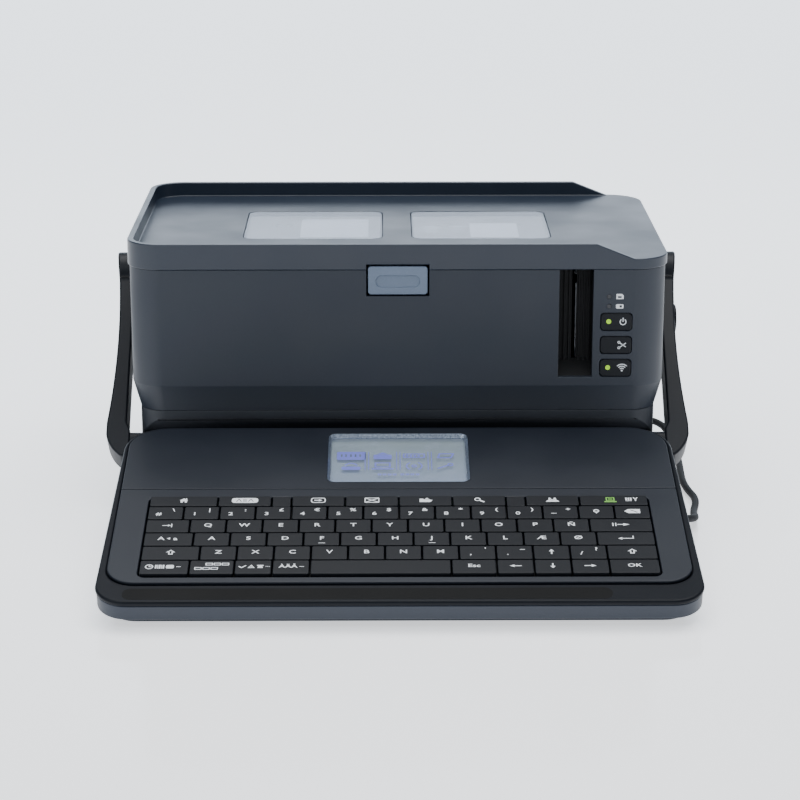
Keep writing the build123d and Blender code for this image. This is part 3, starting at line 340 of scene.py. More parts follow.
# The keyboard frame's near-black satin, darkened further as painted shade for its recessed front border.
frame_dark_with_painted_shade = moulded("frame_dark_with_painted_shade", linear(17, 20, 26), 0.4, 0.5, 0.12, 0.05, gloss=0.12)
# Near-black for a strip of painted shade along the keyboard frame's front border.
painted_shade_black = moulded("painted_shade_black", linear(6, 7, 8), 0.5, 0.6, 0.1, 0.04, gloss=0.12)
green_ink = printed_ink("green_ink", linear(122, 192, 72))
display_ink = printed_ink("display_ink", linear(118, 126, 212))
pale_label = paper_label("pale_label", linear(230, 240, 255))
trim = speckled_trim("display_trim")
lamp_green = lit_lamp("lamp_green", linear(150, 205, 0), 0.7)


def paint(piece, material):
    piece.data.materials.clear()
    piece.data.materials.append(material)
    return piece


own_slot = {part["node"]: part["material_slot"] for part in frame["record"]["subparts"]}


# ---- Cable ----
cable_diameter = 4.0
cable_points = [
    (144.5, 146, 9), (150, 146, 9), (155.1, 143.9, 8.2), (159, 140, 7), (161, 134.9, 5.6),
    (161.8, 129, 4.2), (162.3, 121.5, 2.9), (162.9, 111, 2.1), (163, 93, 2.1), (161.6, 70, 2.1),
    (160.2, 48, 2.1), (161.2, 32, 2.1), (163.5, 20, 2.1), (162.9, 9, 2.1), (160.3, -2, 2.1),
    (159.2, -11, 2.9), (158.9, -18.5, 4.2), (158.2, -24.5, 5.6), (156.4, -30, 7), (152.6, -34, 8.2),
    (147.4, -36, 9), (142.4, -36, 9),
]


def cable_curve(thickness_mm):
    """The cable's smooth line as a curve, with a round section if it has a thickness."""
    curve = bpy.data.curves.new("cable_line", "CURVE")
    curve.dimensions = "3D"
    curve.resolution_u = 10
    curve.bevel_depth = thickness_mm / 2 * MM
    curve.bevel_resolution = 6
    curve.use_fill_caps = True
    line = curve.splines.new("NURBS")
    line.points.add(len(cable_points) - 1)
    for control, spot in zip(line.points, cable_points):
        control.co = (*[value * MM for value in spot], 1)
    line.order_u = 3
    line.use_endpoint_u = True
    return curve


def mesh_from(curve):
    """The mesh that a curve or a text makes."""
    holder = link("holder", curve)
    bpy.context.view_layer.update()
    mesh = bpy.data.meshes.new_from_object(holder)
    bpy.data.objects.remove(holder)
    bpy.data.curves.remove(curve)
    return mesh


cable_path = [tuple(vertex.co) for vertex in mesh_from(cable_curve(0)).vertices]
cable = link("cable_jacket", mesh_from(cable_curve(cable_diameter)))
for face in cable.data.polygons:
    face.use_smooth = True
paint(cable, paints["cable_jacket"])
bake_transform(cable)
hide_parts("cable")

# ---- CAD nodes: materials, and rounded edges on the ones that show ----
for node, piece in frame["nodes"].items():
    paint(piece, paints[own_slot[node]])


def rounded(node, width_mm, segments=3, angle=17.0):
    """A copy of a CAD node with its sharp edges rounded, which stands for the node."""
    source = frame["nodes"][node]
    mesh = source.data.copy()
    shape = bmesh.new()
    shape.from_mesh(mesh)
    bmesh.ops.remove_doubles(shape, verts=shape.verts, dist=0.003 * MM)
    bmesh.ops.dissolve_limit(shape, angle_limit=radians(0.4), verts=shape.verts, edges=shape.edges)
    for face in shape.faces:
        face.smooth = True
    shape.to_mesh(mesh)
    shape.free()
    if "custom_normal" in mesh.attributes:
        mesh.attributes.remove(mesh.attributes["custom_normal"])
    piece = link(node + "_moulding", mesh)
    bevel = piece.modifiers.new("edges", "BEVEL")
    bevel.width = width_mm * MM
    bevel.segments = segments
    bevel.limit_method = "ANGLE"
    bevel.angle_limit = radians(angle)
    bevel.use_clamp_overlap = False
    bevel.harden_normals = True
    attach(piece, source["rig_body"])
    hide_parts(node)
    return piece


edge_rounding = {
    "top_cover": 0.6, "body_shell": 0.3, "base_tray": 0.6, "keyboard_frame": 1.2, "keyboard_case": 0.7,
    "display_panel": 0.45, "key_bezel": 0.6, "handle_arm_left": 1.2, "handle_arm_right": 1.2, "handle_grip": 0.3,
    "latch_button": 0.25, "cover_windows": 0.25, "exit_guide": 0.2, "battery_cover": 0.4, "tape_cassettes": 0.5,
    "keys_bottom": 0.35, "keys_lower": 0.35, "keys_home": 0.35, "keys_upper": 0.35, "keys_number": 0.35,
    "keys_function": 0.35, "space_key": 0.35, "enter_key": 0.35, "print_key": 0.35, "key_fillers": 0.3,
    "printer_feet": 0.5, "keyboard_feet": 0.4, "case_screws": 0.2, "inner_chassis": 0.4,
}
mouldings = {node: rounded(node, width) for node, width in edge_rounding.items()}
# The frame takes the near-black that also carries painted shade for its front border.
paint(mouldings["keyboard_frame"], frame_dark_with_painted_shade)


# ---- Flat outlines, in millimetres, for icons and printed marks ----
def bar(left, low, right, high):
    return [(left, low), (right, low), (right, high), (left, high)]


def soft_bar(width, height, radius, centre=(0, 0)):
    """A rectangle with rounded corners about a centre."""
    points = []
    for turn, (sx, sy) in enumerate(((1, 1), (-1, 1), (-1, -1), (1, -1))):
        for step in range(6):
            angle = (turn + step / 5) * pi / 2
            points.append((centre[0] + sx * (width / 2 - radius) + radius * cos(angle),
                           centre[1] + sy * (height / 2 - radius) + radius * sin(angle)))
    return points


def disc(radius, centre=(0, 0), count=28):
    return [(centre[0] + radius * cos(2 * pi * k / count), centre[1] + radius * sin(2 * pi * k / count))
            for k in range(count)]


def arc_band(radius, thick, first, last, centre=(0, 0), count=20):
    """A stretch of a ring between two angles in degrees."""
    angles = [radians(first + (last - first) * k / count) for k in range(count + 1)]
    outer = [(centre[0] + (radius + thick / 2) * cos(a), centre[1] + (radius + thick / 2) * sin(a)) for a in angles]
    inner = [(centre[0] + (radius - thick / 2) * cos(a), centre[1] + (radius - thick / 2) * sin(a)) for a in angles]
    return outer + inner[::-1]


def stroke(start, end, thick):
    """A straight line with a thickness."""
    dx, dy = end[0] - start[0], end[1] - start[1]
    reach = hypot(dx, dy)
    nx, ny = -dy / reach * thick / 2, dx / reach * thick / 2
    return [(start[0] + nx, start[1] + ny), (start[0] - nx, start[1] - ny), (end[0] - nx, end[1] - ny),
            (end[0] + nx, end[1] + ny)]


def arrow(length, thick=0.6, head=1.1, head_length=1.9):
    """An arrow to the right, centred."""
    half = length / 2
    neck = half - head_length
    return [(-half, -thick / 2), (neck, -thick / 2), (neck, -head), (half, 0), (neck, head), (neck, thick / 2),
            (-half, thick / 2)]


def turned(points, degrees, shift=(0, 0)):
    c, s = cos(radians(degrees)), sin(radians(degrees))
    return [(x * c - y * s + shift[0], x * s + y * c + shift[1]) for x, y in points]


def shifted(groups, dx, dy):
    """An icon moved aside: an icon is a list of groups, and a group is an outline and its holes."""
    return [[[(x + dx, y + dy) for x, y in loop] for loop in group] for group in groups]


class Marks:
    """Thin raised marks in one material, gathered into one piece that lies on a plane of one body."""

    def __init__(self, name, body, material, matrix, thick=0.05, slot=None):
        self.name, self.body, self.material, self.matrix = name, body, material, matrix
        self.thick, self.slot = thick, slot
        self.shape = bmesh.new()

    def take(self, mesh, x, y, stretch=1.0):
        mesh.transform(self.matrix @ Matrix.Translation((x, y, 0)) @ Matrix.Diagonal((stretch, 1, 1, 1)))
        self.shape.from_mesh(mesh)
        bpy.data.meshes.remove(mesh)

    def icon(self, groups, x=0.0, y=0.0):
        for loops in groups:
            curve = bpy.data.curves.new("outline", "CURVE")
            curve.dimensions = "2D"
            curve.fill_mode = "BOTH"
            curve.extrude = self.thick / 2
            for loop in loops:
                line = curve.splines.new("POLY")
                line.points.add(len(loop) - 1)
                for control, (px, py) in zip(line.points, loop):
                    control.co = (px, py, 0, 1)
                line.use_cyclic_u = True
            self.take(mesh_from(curve), x, y)
        return self

    def text(self, words, x, y, size=4.0, bold=0.07, stretch=1.2):
        curve = bpy.data.curves.new("words", "FONT")
        curve.body = words
        curve.size = size
        curve.offset = bold
        curve.extrude = self.thick / 2
        curve.resolution_u = 3
        curve.align_x, curve.align_y = "CENTER", "CENTER"
        self.take(mesh_from(curve), x, y, stretch)
        return self

    def done(self):
        mesh = bpy.data.meshes.new(self.name)
        bmesh.ops.remove_doubles(self.shape, verts=self.shape.verts, dist=0.002 * MM)
        self.shape.to_mesh(mesh)
        self.shape.free()
        piece = link(self.name, mesh)
        paint(piece, self.material)
        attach(piece, self.body)
        return piece


def plane_matrix(origin, across, up):
    """Local millimetres on a plane to the row frame's metres."""
    out = across.cross(up)
    turn = Matrix((across, up, out)).transposed().to_4x4()
    return Matrix.Translation(origin) @ turn @ Matrix.Scale(MM, 4)


# ---- The keyboard's plane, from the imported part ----
joints = {joint["name"]: joint for joint in frame["joints"]}
face_normal = -Vector(joints["print_press"]["axis"]).normalized()
face_up = face_normal.cross(X_AXIS)
frame_vertices = [vertex.co for vertex in frame["nodes"]["keyboard_frame"].data.vertices]
face_height = max(vertex.dot(face_normal) for vertex in frame_vertices)
face_front = min(vertex.dot(face_up) for vertex in frame_vertices)
face_origin = face_normal * face_height + face_up * face_front


def on_face(height_mm):
    """The plane a height over the keyboard frame's top: x across, y up the slope from the front edge."""
    return plane_matrix(face_origin + face_normal * height_mm * MM, X_AXIS, face_up)


def cells_of(node):
    """Each separate solid of a CAD node on the keyboard's plane: (middle x, middle y, width, depth, top)."""
    shape = bmesh.new()
    shape.from_mesh(frame["nodes"][node].data)
    bmesh.ops.remove_doubles(shape, verts=shape.verts, dist=0.003 * MM)
    left = set(shape.verts)
    cells = []
    while left:
        island = [left.pop()]
        for vertex in island:
            for edge in vertex.link_edges:
                other = edge.other_vert(vertex)
                if other in left:
                    left.remove(other)
                    island.append(other)
        spots = [vertex.co - face_origin for vertex in island]
        xs = [spot.x / MM for spot in spots]
        ys = [spot.dot(face_up) / MM for spot in spots]
        top = max(spot.dot(face_normal) / MM for spot in spots)
        cells.append(((min(xs) + max(xs)) / 2, (min(ys) + max(ys)) / 2, max(xs) - min(xs), max(ys) - min(ys), top))
    shape.free()
    return sorted(cells)


def key_icons():
    """Generic key icons, each a list of groups of outlines in millimetres about its middle."""
    icons = {}
    icons["home"] = [[[(-2.2, 0.2), (0, 2.1), (2.2, 0.2)]],
                     [[(-1.6, 0.2), (1.6, 0.2), (1.6, -1.9), (0.5, -1.9), (0.5, -0.6), (-0.5, -0.6), (-0.5, -1.9),
                       (-1.6, -1.9)]], [bar(0.9, 1.0, 1.5, 2.1)]]
    letter = [(-1.5, -1.2), (-1.0, -1.2), (0, 0.9), (1.0, -1.2), (1.5, -1.2), (0.3, 1.3), (-0.3, 1.3)]
    icons["size"] = [[soft_bar(13.2, 4.6, 1.6), turned(letter, 0, (-3.0, 0)), bar(-1.0, 0.7, 1.0, 1.1),
                      bar(-1.0, -0.2, 1.0, 0.2), bar(-1.0, -1.1, 1.0, -0.7), turned(letter, 0, (3.0, 0))]]
    icons["next"] = [[soft_bar(7.4, 4.8, 1.5), soft_bar(6.3, 3.7, 1.1)], [arrow(4.0, 0.7, 1.1, 1.8)]]
    icons["letter"] = [[soft_bar(7.4, 4.8, 0.5), soft_bar(6.4, 3.8, 0.3)], [stroke((-2.9, 1.7), (2.9, -1.7), 0.55)],
                       [stroke((-2.9, -1.7), (2.9, 1.7), 0.55)]]
    icons["folder"] = [[[(-3.0, -1.9), (-3.0, 1.3), (-1.2, 1.3), (-0.8, 0.6), (2.4, 0.6), (2.4, 0.1), (3.6, 0.1),
                         (2.4, -1.9)]], [[(-0.4, 1.0), (0.7, 2.2), (1.8, 1.0)]]]
    icons["find"] = [[disc(1.6, (-0.8, 0.6)), disc(1.0, (-0.8, 0.6))], [stroke((0.3, -0.4), (2.6, -2.0), 1.0)]]
    icons["people"] = [[[(-3.4, -1.9), (3.4, -1.9), (2.6, -0.5), (-2.6, -0.5)]], [disc(0.65, (-1.3, 1.3))],
                       [disc(0.65, (1.3, 1.3))], [stroke((-1.9, -0.6), (-1.3, 0.9), 0.6)],
                       [stroke((1.9, -0.6), (1.3, 0.9), 0.6)], [stroke((-1.3, 0.7), (1.3, -0.4), 0.45)],
                       [stroke((1.3, 0.7), (-1.3, -0.4), 0.45)]]
    icons["print"] = [[bar(-2.2, -1.0, 2.2, 2.4), bar(-1.6, -0.5, 1.6, 1.9)], [bar(-3.1, -2.2, 3.1, -1.3)],
                      [bar(-1.1, 0.9, 1.1, 1.3)], [bar(-1.1, 0.1, 1.1, 0.5)]]
    icons["snip"] = [[bar(-2.9, -1.1, -2.1, 1.3)], [bar(-1.7, -1.1, -0.9, 1.3)], [bar(-0.5, -1.1, 0.3, 1.3)],
                     [bar(-2.9, -1.9, 0.3, -1.5)], [stroke((1.2, 1.6), (2.2, -0.3), 0.6)],
                     [stroke((3.2, 1.6), (2.2, -0.3), 0.6)], [stroke((2.2, 0.0), (2.2, -1.9), 0.6)]]
    icons["pin"] = [[disc(1.5, (0, 0.5)), disc(0.75, (0, 0.5))], [[(-1.0, -0.5), (1.0, -0.5), (0, -2.0)]]]
    icons["back"] = [[[(-4.0, 0), (-1.9, 1.9), (4.0, 1.9), (4.0, -1.9), (-1.9, -1.9)],
                      stroke((-0.7, 1.1), (2.6, -1.1), 0.6)], ]
    icons["back_cross"] = [[stroke((-0.7, -1.1), (2.6, 1.1), 0.6)]]
    icons["tab"] = [[turned(arrow(4.2, 0.5, 0.9, 1.5), 0, (-0.5, 0))], [bar(1.7, -1.6, 2.2, 1.6)]]
    icons["feed"] = [[bar(-4.3, -1.5, -3.7, 1.5)], [bar(-2.9, -1.5, -2.3, 1.5)],
                     [turned(arrow(6.0, 0.6, 1.2, 3.2), 0, (1.3, 0))]]
    icons["enter"] = [[stroke((3.6, 1.7), (3.6, -0.7), 0.55)], [stroke((3.85, -0.7), (-2.4, -0.7), 0.55)],
                      [[(-3.8, -0.7), (-1.8, 0.4), (-1.8, -1.8)]]]
    icons["shift"] = [[[(0, 2.3), (-2.3, 0.1), (-1.1, 0.1), (-1.1, -1.9), (1.1, -1.9), (1.1, 0.1), (2.3, 0.1)],
                       [(0, 1.5), (-0.95, 0.6), (-0.5, 0.6), (-0.5, -1.3), (0.5, -1.3), (0.5, 0.6), (0.95, 0.6)]]]
    icons["wedge"] = [[[(-0.9, 0), (0.8, 1.0), (0.8, -1.0)]]]
    icons["up"] = [[turned(arrow(4.2, 0.7, 1.3, 1.9), 90)]]
    icons["down"] = [[turned(arrow(4.2, 0.7, 1.3, 1.9), -90)]]
    icons["left"] = [[turned(arrow(5.8, 0.6, 1.1, 2.4), 180)]]
    icons["right"] = [[arrow(5.8, 0.6, 1.1, 2.4)]]
    icons["clock"] = [[disc(2.0), disc(1.45)], [stroke((0, 1.2), (0, -0.1), 0.5)], [stroke((-0.1, 0), (1.2, 0), 0.5)]]
    icons["stripes"] = [[bar(x, -1.6, x + w, 1.6)] for x, w in ((-2.2, 0.8), (-1.1, 0.4), (-0.4, 0.9), (0.8, 0.4),
                                                             (1.5, 0.8))]
    icons["drum"] = [[soft_bar(3.8, 3.0, 0.6)], ]
    icons["dash"] = [[bar(-1.1, -0.2, 1.1, 0.2)]]
    icons["strip"] = [[soft_bar(3.6, 2.2, 0.3, (x, 0)), soft_bar(2.6, 1.2, 0.2, (x, 0))] for x in (-3.9, 0, 3.9)]
    icons["tick"] = [[stroke((-2.2, 0.3), (-0.4, -1.4), 0.8)], [stroke((-0.6, -1.4), (2.2, 1.2), 0.8)]]
    icons["sign"] = [[[(-2.1, -1.6), (2.1, -1.6), (0, 2.0)], [(-1.2, -1.05), (1.2, -1.05), (0, 1.0)]],
                     [bar(-0.2, -0.8, 0.2, 0.4)]]
    icons["phone"] = [[soft_bar(4.0, 1.1, 0.5, (0, 1.1))], [[(-1.7, -1.6), (1.7, -1.6), (1.1, 0.6), (-1.1, 0.6)]]]
    icons["dots"] = [[disc(0.32, (x, 0), 10)] for x in (-1.0, 0, 1.0)]
    return icons


def print_keys():
    """Legends on the key caps: letters and digits in the middle, a shifted sign at the upper right."""
    icons = key_icons()
    lift = 0.0

    def row(node, body, entries):
        cells = cells_of(node)
        marks = Marks(node + "_legends", body, white_ink, on_face(cells[0][4] + lift), slot="key_plastic")
        for (x, y, width, depth, _), draw in zip(cells, entries):
            draw(marks, x, y + 0.7, width, depth)
        marks.done()

    def letter(words, size=4.3):
        return lambda marks, x, y, w, d: marks.text(words, x, y, size)

    def pair(low, high):
        def draw(marks, x, y, w, d):
            marks.text(low, x - 3.4, y - 1.7, 4.0)
            marks.text(high, x + 3.9, y + 1.9, 3.8)
        return draw

    def icon(name, dx=0.0):
        return lambda marks, x, y, w, d: marks.icon(icons[name], x + dx, y - 0.2)

    def back(marks, x, y, w, d):
        marks.icon(icons["back"], x, y)

    def caps(marks, x, y, w, d):
        marks.text("A", x - 3.6, y, 4.1).icon(icons["wedge"], x, y).text("a", x + 3.4, y - 0.2, 4.1)

    def home_bar(words):
        def draw(marks, x, y, w, d):
            marks.text(words, x, y, 4.3).icon([[bar(-1.6, -0.18, 1.6, 0.18)]], x, y - 4.4)
        return draw

    def clock(marks, x, y, w, d):
        for name, dx in (("clock", -7.2), ("stripes", -2.2), ("drum", 2.8), ("dash", 7.0)):
            marks.icon(icons[name], x + dx, y - 0.3)

    def strips(marks, x, y, w, d):
        marks.icon(icons["strip"], x + 2.6, y + 1.9).icon(icons["strip"], x - 2.6, y - 1.9)

    def signs(marks, x, y, w, d):
        for name, dx in (("tick", -5.2), ("sign", -0.9), ("phone", 3.4), ("dots", 7.0)):
            marks.icon([[[(px * 0.8, py * 0.8) for px, py in loop] for loop in group] for group in icons[name]],
                       x + dx, y - 0.3)

    def accents(marks, x, y, w, d):
        marks.text("ÀÄÅ", x - 1.4, y - 0.2, 3.7).icon(icons["dash"], x + 5.2, y - 0.4)

    row("keys_number", "keys_number_body", [pair("#", "\\"), pair("1", "|"), pair("2", ":"), pair("3", "£"),
        pair("4", "€"), pair("5", "%"), pair("6", "$"), pair("7", "&"), pair("8", "*"), pair("9", "("),
        pair("0", ")"), pair("–", "+"), icon("pin"), back])
    row("keys_upper", "keys_upper_body", [icon("tab")] + [letter(c) for c in "QWERTYUIOPÑ"] + [icon("feed")])
    row("keys_home", "keys_home_body", [caps] + [home_bar(c) if c in "FJ" else letter(c) for c in "ASDFGHJKLÆØ"])
    row("keys_lower", "keys_lower_body", [icon("shift")] + [letter(c) for c in "ZXCVBNM"]
        + [pair(",", "'"), pair(".", "–"), icon("up"), pair("/", "?"), icon("shift")])
    row("keys_bottom", "keys_bottom_body", [clock, strips, signs, accents, letter("Esc", 3.9), icon("left"),
        icon("down"), icon("right"), letter("OK", 3.9)])
    row("keys_function", "keys_function_body", [icon("home"), icon("size"), icon("next"), icon("letter"),
        icon("folder"), icon("find"), icon("people")])
    row("enter_key", "enter_key_body", [icon("enter")])
    x, y, width, depth, top = cells_of("print_key")[0]
    Marks("print_key_symbol", "print_key_body", green_ink, on_face(top)).icon(icons["print"], x - width * 0.05,
                                                                            y + 0.3).done()
    Marks("print_key_legends", "print_key_body", white_ink, on_face(top)).icon(icons["snip"], x + width * 0.26,
                                                                             y + 1.0).done()


print_keys()


# ---- Display: metallised chamfer round the glass and the shown menu ----
def painted_front_shade():
    """A near-black strip of painted shade along the frame's front border, standing in for the shade inside a recessed
    channel, with a round end at its right.
    """
    border = 15.0
    gap = 1.8
    left, right, end = -132.0, 101.0, 4.0
    middle = (left + right) / 2
    marks = Marks("painted_front_shade", "keyboard", painted_shade_black, on_face(0.02), slot="keyboard_plastic")
    marks.icon([[soft_bar(right - left, border - 3 * gap, end)]], middle, border / 2 - gap / 4)
    marks.done()


painted_front_shade()


def display_parts():
    glass = cells_of("lcd_window")[0]
    panel_top = cells_of("display_panel")[0][4]
    ledge = 1.5
    middle, size = (glass[0], glass[1]), (glass[2] - 2 * ledge, glass[3] - 2 * ledge)
    slopes = ((0.0, panel_top - 0.12, 4.0), (1.25, glass[4] + 0.35, 3.2), (1.55, glass[4] + 0.3, 3.0),
              (1.55, glass[4] + 0.01, 3.0))
    shape = bmesh.new()
    rings = []
    for inset, height, corner in slopes:
        outline = soft_bar(size[0] - 2 * inset, size[1] - 2 * inset, corner, middle)
        matrix = on_face(height)
        rings.append([shape.verts.new(matrix @ Vector((x, y, 0))) for x, y in outline])
    outer = [shape.verts.new(on_face(glass[4] + 0.01) @ Vector((x, y, 0)))
             for x, y in soft_bar(size[0], size[1], 4.0, middle)]
    rings.append(outer)
    for first, second in zip(rings, rings[1:] + rings[:1]):
        count = len(first)
        for k in range(count):
            shape.faces.new((first[k], first[(k + 1) % count], second[(k + 1) % count], second[k]))
    bmesh.ops.recalc_face_normals(shape, faces=shape.faces)
    mesh = bpy.data.meshes.new("display_chamfer")
    shape.to_mesh(mesh)
    shape.free()
    chamfer = link("display_chamfer", mesh)
    paint(chamfer, trim)
    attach(chamfer, "keyboard")

    x, y = middle
    menu = Marks("display_menu", "keyboard", display_ink, on_face(glass[4] + 0.01), thick=0.03, slot="display")
    column, row_high, row_low = 16.4, y + 5.2, y - 5.4
    menu.icon([[soft_bar(15.0, 8.2, 1.0)] + [bar(a, -1.2, a + 0.9, 1.6) for a in (-5.4, -3.2, -0.6, 1.8, 4.2)]],
              x - 1.5 * column, row_high)
    menu.icon([[soft_bar(9.5, 4.6, 0.8, (0, -1.2))], [[(-3, 1.4), (0, 3.6), (3, 1.4)]]], x - 0.5 * column, row_high)
    menu.icon([[soft_bar(11.5, 4.4, 0.6), soft_bar(9.9, 2.8, 0.4)]] + [[bar(a, -0.9, a + 1.2, 0.9)]
              for a in (-4.2, -2.2, -0.2, 1.8)], x + 0.5 * column, row_high)
    menu.icon([[[(-4.6, -2.6), (3.2, -2.6), (4.8, 2.4), (-3.4, 2.4)], [(-3.4, -1.7), (2.6, -1.7), (3.5, 1.5),
              (-2.6, 1.5)]]], x + 1.5 * column, row_high)
    menu.icon([[soft_bar(10.0, 3.2, 1.2, (0, -2.2))], [arc_band(3.2, 1.0, 20, 160, (0, -0.4))]],
              x - 1.5 * column, row_low)
    menu.icon([[bar(-4.2, -1.4, 4.2, 3.6), bar(-3.3, -0.6, 3.3, 2.8)], [bar(-5.6, -3.4, 5.6, -2.3)]],
              x - 0.5 * column, row_low)
    menu.icon([[arc_band(4.0, 0.8, 120, 240)], [arc_band(4.0, 0.8, -60, 60)], [disc(1.5), disc(0.7)]],
              x + 0.5 * column, row_low)
    menu.icon([[stroke((-4.2, -2.6), (1.4, 0.8), 1.0)], [disc(1.6, (2.4, 1.4)), disc(0.8, (2.4, 1.4))]],
              x + 1.5 * column, row_low)
    for k in (-1, 0, 1):
        for side in (-0.9, 0.9):
            menu.icon([[bar(-0.2, -9.2, 0.2, 9.2)]], x + k * column + side, y)
    for a in (-9.8, -7.2, -4.6, -2.0, 2.0, 4.6, 7.2, 9.8):
        menu.icon([[soft_bar(1.9, 1.7, 0.4), soft_bar(0.9, 0.6, 0.2)]], x + a, y - 14.0)
    menu.done()


display_parts()


# ---- Front of the printer: button symbols, lamps ----
def on_front(y):
    """The plane of the printer's front: x across, y up."""
    return plane_matrix(Vector((0, y, 0)), X_AXIS, Z_AXIS)


def front_marks():
    power = [[arc_band(1.55, 0.5, -235, 55)], [bar(-0.25, 0.1, 0.25, 2.3)]]
    blades = [[stroke((-1.4, 1.2), (1.8, -1.1), 0.5)], [stroke((-1.4, -1.2), (1.8, 1.1), 0.5)],
              [disc(0.75, (-1.9, 1.5), 16), disc(0.35, (-1.9, 1.5), 16)],
              [disc(0.75, (-1.9, -1.5), 16), disc(0.35, (-1.9, -1.5), 16)]]
    waves = [[arc_band(r, 0.5, 45, 135, (0, -1.6))] for r in (1.4, 2.5, 3.6)] + [[disc(0.5, (0, -1.5), 14)]]
    for node, body, symbol in (("power_button", "power", power), ("cut_button", "cut", blades),
                               ("wireless_button", "wireless", waves)):
        low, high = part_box(node)
        x, z = (low.x + high.x) / 2 / MM, (low.z + high.z) / 2 / MM
        Marks(node + "_symbol", body, white_ink, on_front(low.y)).icon(symbol, x + 3.5, z + 0.1).done()
        if node != "cut_button":
            Marks(node + "_lamp", body, lamp_green, on_front(low.y), thick=0.16, slot="lamp").icon(
                [[disc(1.3, (0, 0), 24)]], x - 4.1, z + 0.3).done()
    page = [[[(-1.9, -1.3), (-1.9, 1.5), (1.2, 1.5), (2.0, 0.5), (2.0, -1.3)], bar(-1.1, -0.7, 0.9, 0.3)]]
    cell = [[soft_bar(4.0, 2.4, 0.6), bar(-0.1, -0.6, 1.2, 0.6)]]
    low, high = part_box("status_lamps")
    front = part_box("body_shell")[0].y
    marks = Marks("lamp_symbols", "printer", white_ink, on_front(front))
    marks.icon(page, low.x / MM + 6.8, high.z / MM - 1.15).icon(cell, low.x / MM + 6.8, low.z / MM + 1.15)
    marks.done()


front_marks()


# ---- Labels on the cassettes under the windows ----
def cassette_labels():
    low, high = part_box("tape_cassettes")
    top = plane_matrix(Vector((0, 0, high.z)), X_AXIS, Y_AXIS)
    labels = Marks("cassette_labels", "printer", pale_label, top, thick=0.12, slot="cassette_plastic")
    labels.icon([[soft_bar(38, 47, 2.0)]], -35.0, 94.5).icon([[soft_bar(27, 36, 2.0)]], 54.5, 89.0)
    labels.done()
    lines = Marks("cassette_lines", "printer", grey_ink, top, thick=0.08, slot="cassette_plastic")
    for k, (a, b) in enumerate(((7.5, 15.5), (7.5, 15.5), (7.5, 15.0))):
        lines.icon([[soft_bar(b - a, 3.4, 0.5)]], 12 + a, 98 - 6.5 * k)
    for k in range(3):
        lines.icon([[soft_bar(9.0 - k, 2.2, 0.4)]], 33.5, 98 - 6.5 * k)
    lines.done()


cassette_labels()


# ---- Handle: the round cap on the right arm's outer face ----
def turned_cap(name, centre_mm, profile, count=56):
    """A disc that faces +X and rides the handle: profile is (radius, height) pairs in millimetres."""
    matrix = plane_matrix(Vector(centre_mm) * MM, Y_AXIS, Vector((0, 0, 1)))
    shape = bmesh.new()
    rings = []
    for radius, height in profile:
        spots = [(radius * cos(2 * pi * k / count), radius * sin(2 * pi * k / count), height) for k in range(count)]
        rings.append([shape.verts.new(matrix @ Vector(spot)) for spot in spots])
    for first, second in zip(rings, rings[1:]):
        for k in range(count):
            wall = shape.faces.new((first[k], first[(k + 1) % count], second[(k + 1) % count], second[k]))
            wall.smooth = True
    shape.faces.new(rings[0][::-1])
    shape.faces.new(rings[-1])
    mesh = bpy.data.meshes.new(name)
    shape.to_mesh(mesh)
    shape.free()
    piece = link(name, mesh)
    paint(piece, paints["handle_plastic"])
    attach(piece, "handle")


def outer_face(node, y_mm, z_mm):
    """How far out in X, in millimetres, a CAD node reaches at one place."""
    mesh = frame["nodes"][node].data
    tree = BVHTree.FromPolygons([vertex.co for vertex in mesh.vertices], [face.vertices for face in mesh.polygons])
    return tree.ray_cast(Vector((1, y_mm * MM, z_mm * MM)), -X_AXIS)[0].x / MM


cap_y, cap_z = 71, 90.5
cap_x = outer_face("handle_arm_right", cap_y, cap_z)
turned_cap("handle_cap", (cap_x, cap_y, cap_z),
           [(8.0, -1.6), (8.0, 0.8), (7.7, 1.15), (7.1, 1.3), (5.7, 1.3), (5.4, 1.0)])


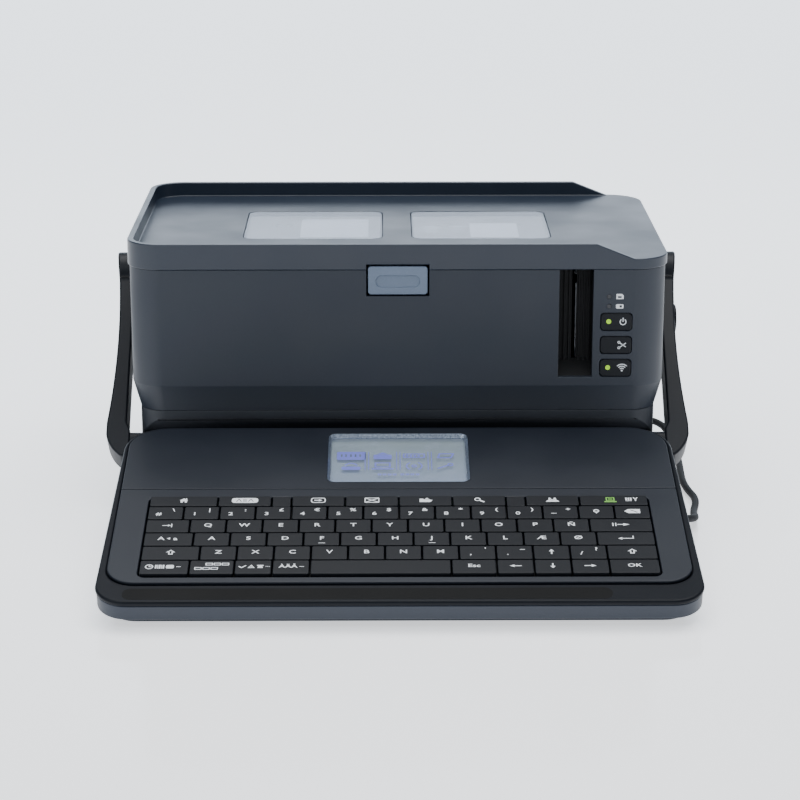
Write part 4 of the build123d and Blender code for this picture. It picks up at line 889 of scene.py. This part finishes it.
# ---- Floor and light ----
def pale_floor():
    size = 9.0
    mesh = bpy.data.meshes.new("floor")
    mesh.from_pydata([(-size, -size, 0), (size, -size, 0), (size, size, 0), (-size, size, 0)], [], [(0, 1, 2, 3)])
    floor = link("floor", mesh)
    finish = Finish("pale_floor")
    cloud = finish.noise(300, 2.0)
    finish.set(Base_Color=finish.mix(finish.span(cloud, 0, 1), linear(240, 241, 243), linear(245, 246, 248)),
               Roughness=0.1, Emission_Color=linear(245, 247, 250), Emission_Strength=1.0)
    paint(floor, finish.material)


def soft_box(name, place, aim, size, power, colour=(1, 1, 1)):
    data = bpy.data.lights.new(name, "AREA")
    data.shape = "RECTANGLE"
    data.size, data.size_y = size
    data.energy = power
    data.color = colour
    lamp = link(name, data)
    lamp.location = place
    lamp.rotation_euler = (Vector(aim) - Vector(place)).to_track_quat("-Z", "Y").to_euler()


dim_room = 0.34
bright_wall = 3.0


def studio():
    world = bpy.data.worlds.new("studio")
    bpy.context.scene.world = world
    world.use_nodes = True
    nodes, links = world.node_tree.nodes, world.node_tree.links
    place = nodes.new("ShaderNodeTexCoord")
    parts = nodes.new("ShaderNodeSeparateXYZ")
    links.new(place.outputs["Generated"], parts.inputs[0])

    def ramp(source, *numbers):
        node = nodes.new("ShaderNodeMapRange")
        links.new(source, node.inputs[0])
        for index, value in enumerate(numbers):
            node.inputs[index + 1].default_value = value
        return node

    # A white wall behind the object, up to a third of the way to the zenith, and a dimmer room.
    wall = ramp(parts.outputs["Y"], 0.72, 0.95, dim_room, bright_wall)
    height = ramp(parts.outputs["Z"], 0.22, 0.46, 1.0, 0.0)
    strength = ramp(height.outputs[0], 0.0, 1.0, dim_room, bright_wall)
    links.new(wall.outputs[0], strength.inputs[4])
    links.new(strength.outputs[0], nodes["Background"].inputs["Strength"])
    nodes["Background"].inputs["Color"].default_value = (0.78, 0.88, 1.0, 1)
    soft_box("top_light", (0.1, 0.2, 1.5), (0, 0, 0.05), (1.6, 1.2), 29, (1.0, 1.0, 1.0))
    soft_box("left_light", (-1.3, -0.9, 0.9), (0, 0, 0.08), (0.9, 1.1), 5, (0.94, 0.97, 1.0))
    soft_box("right_light", (1.5, -0.4, 0.7), (0, 0, 0.08), (0.6, 1.0), 0.6, (0.94, 0.97, 1.0))
    soft_box("front_light", (-0.2, -1.2, 1.5), (0, -0.1, 0.05), (1.6, 0.7), 8, (0.94, 0.97, 1.0))


pale_floor()
studio()
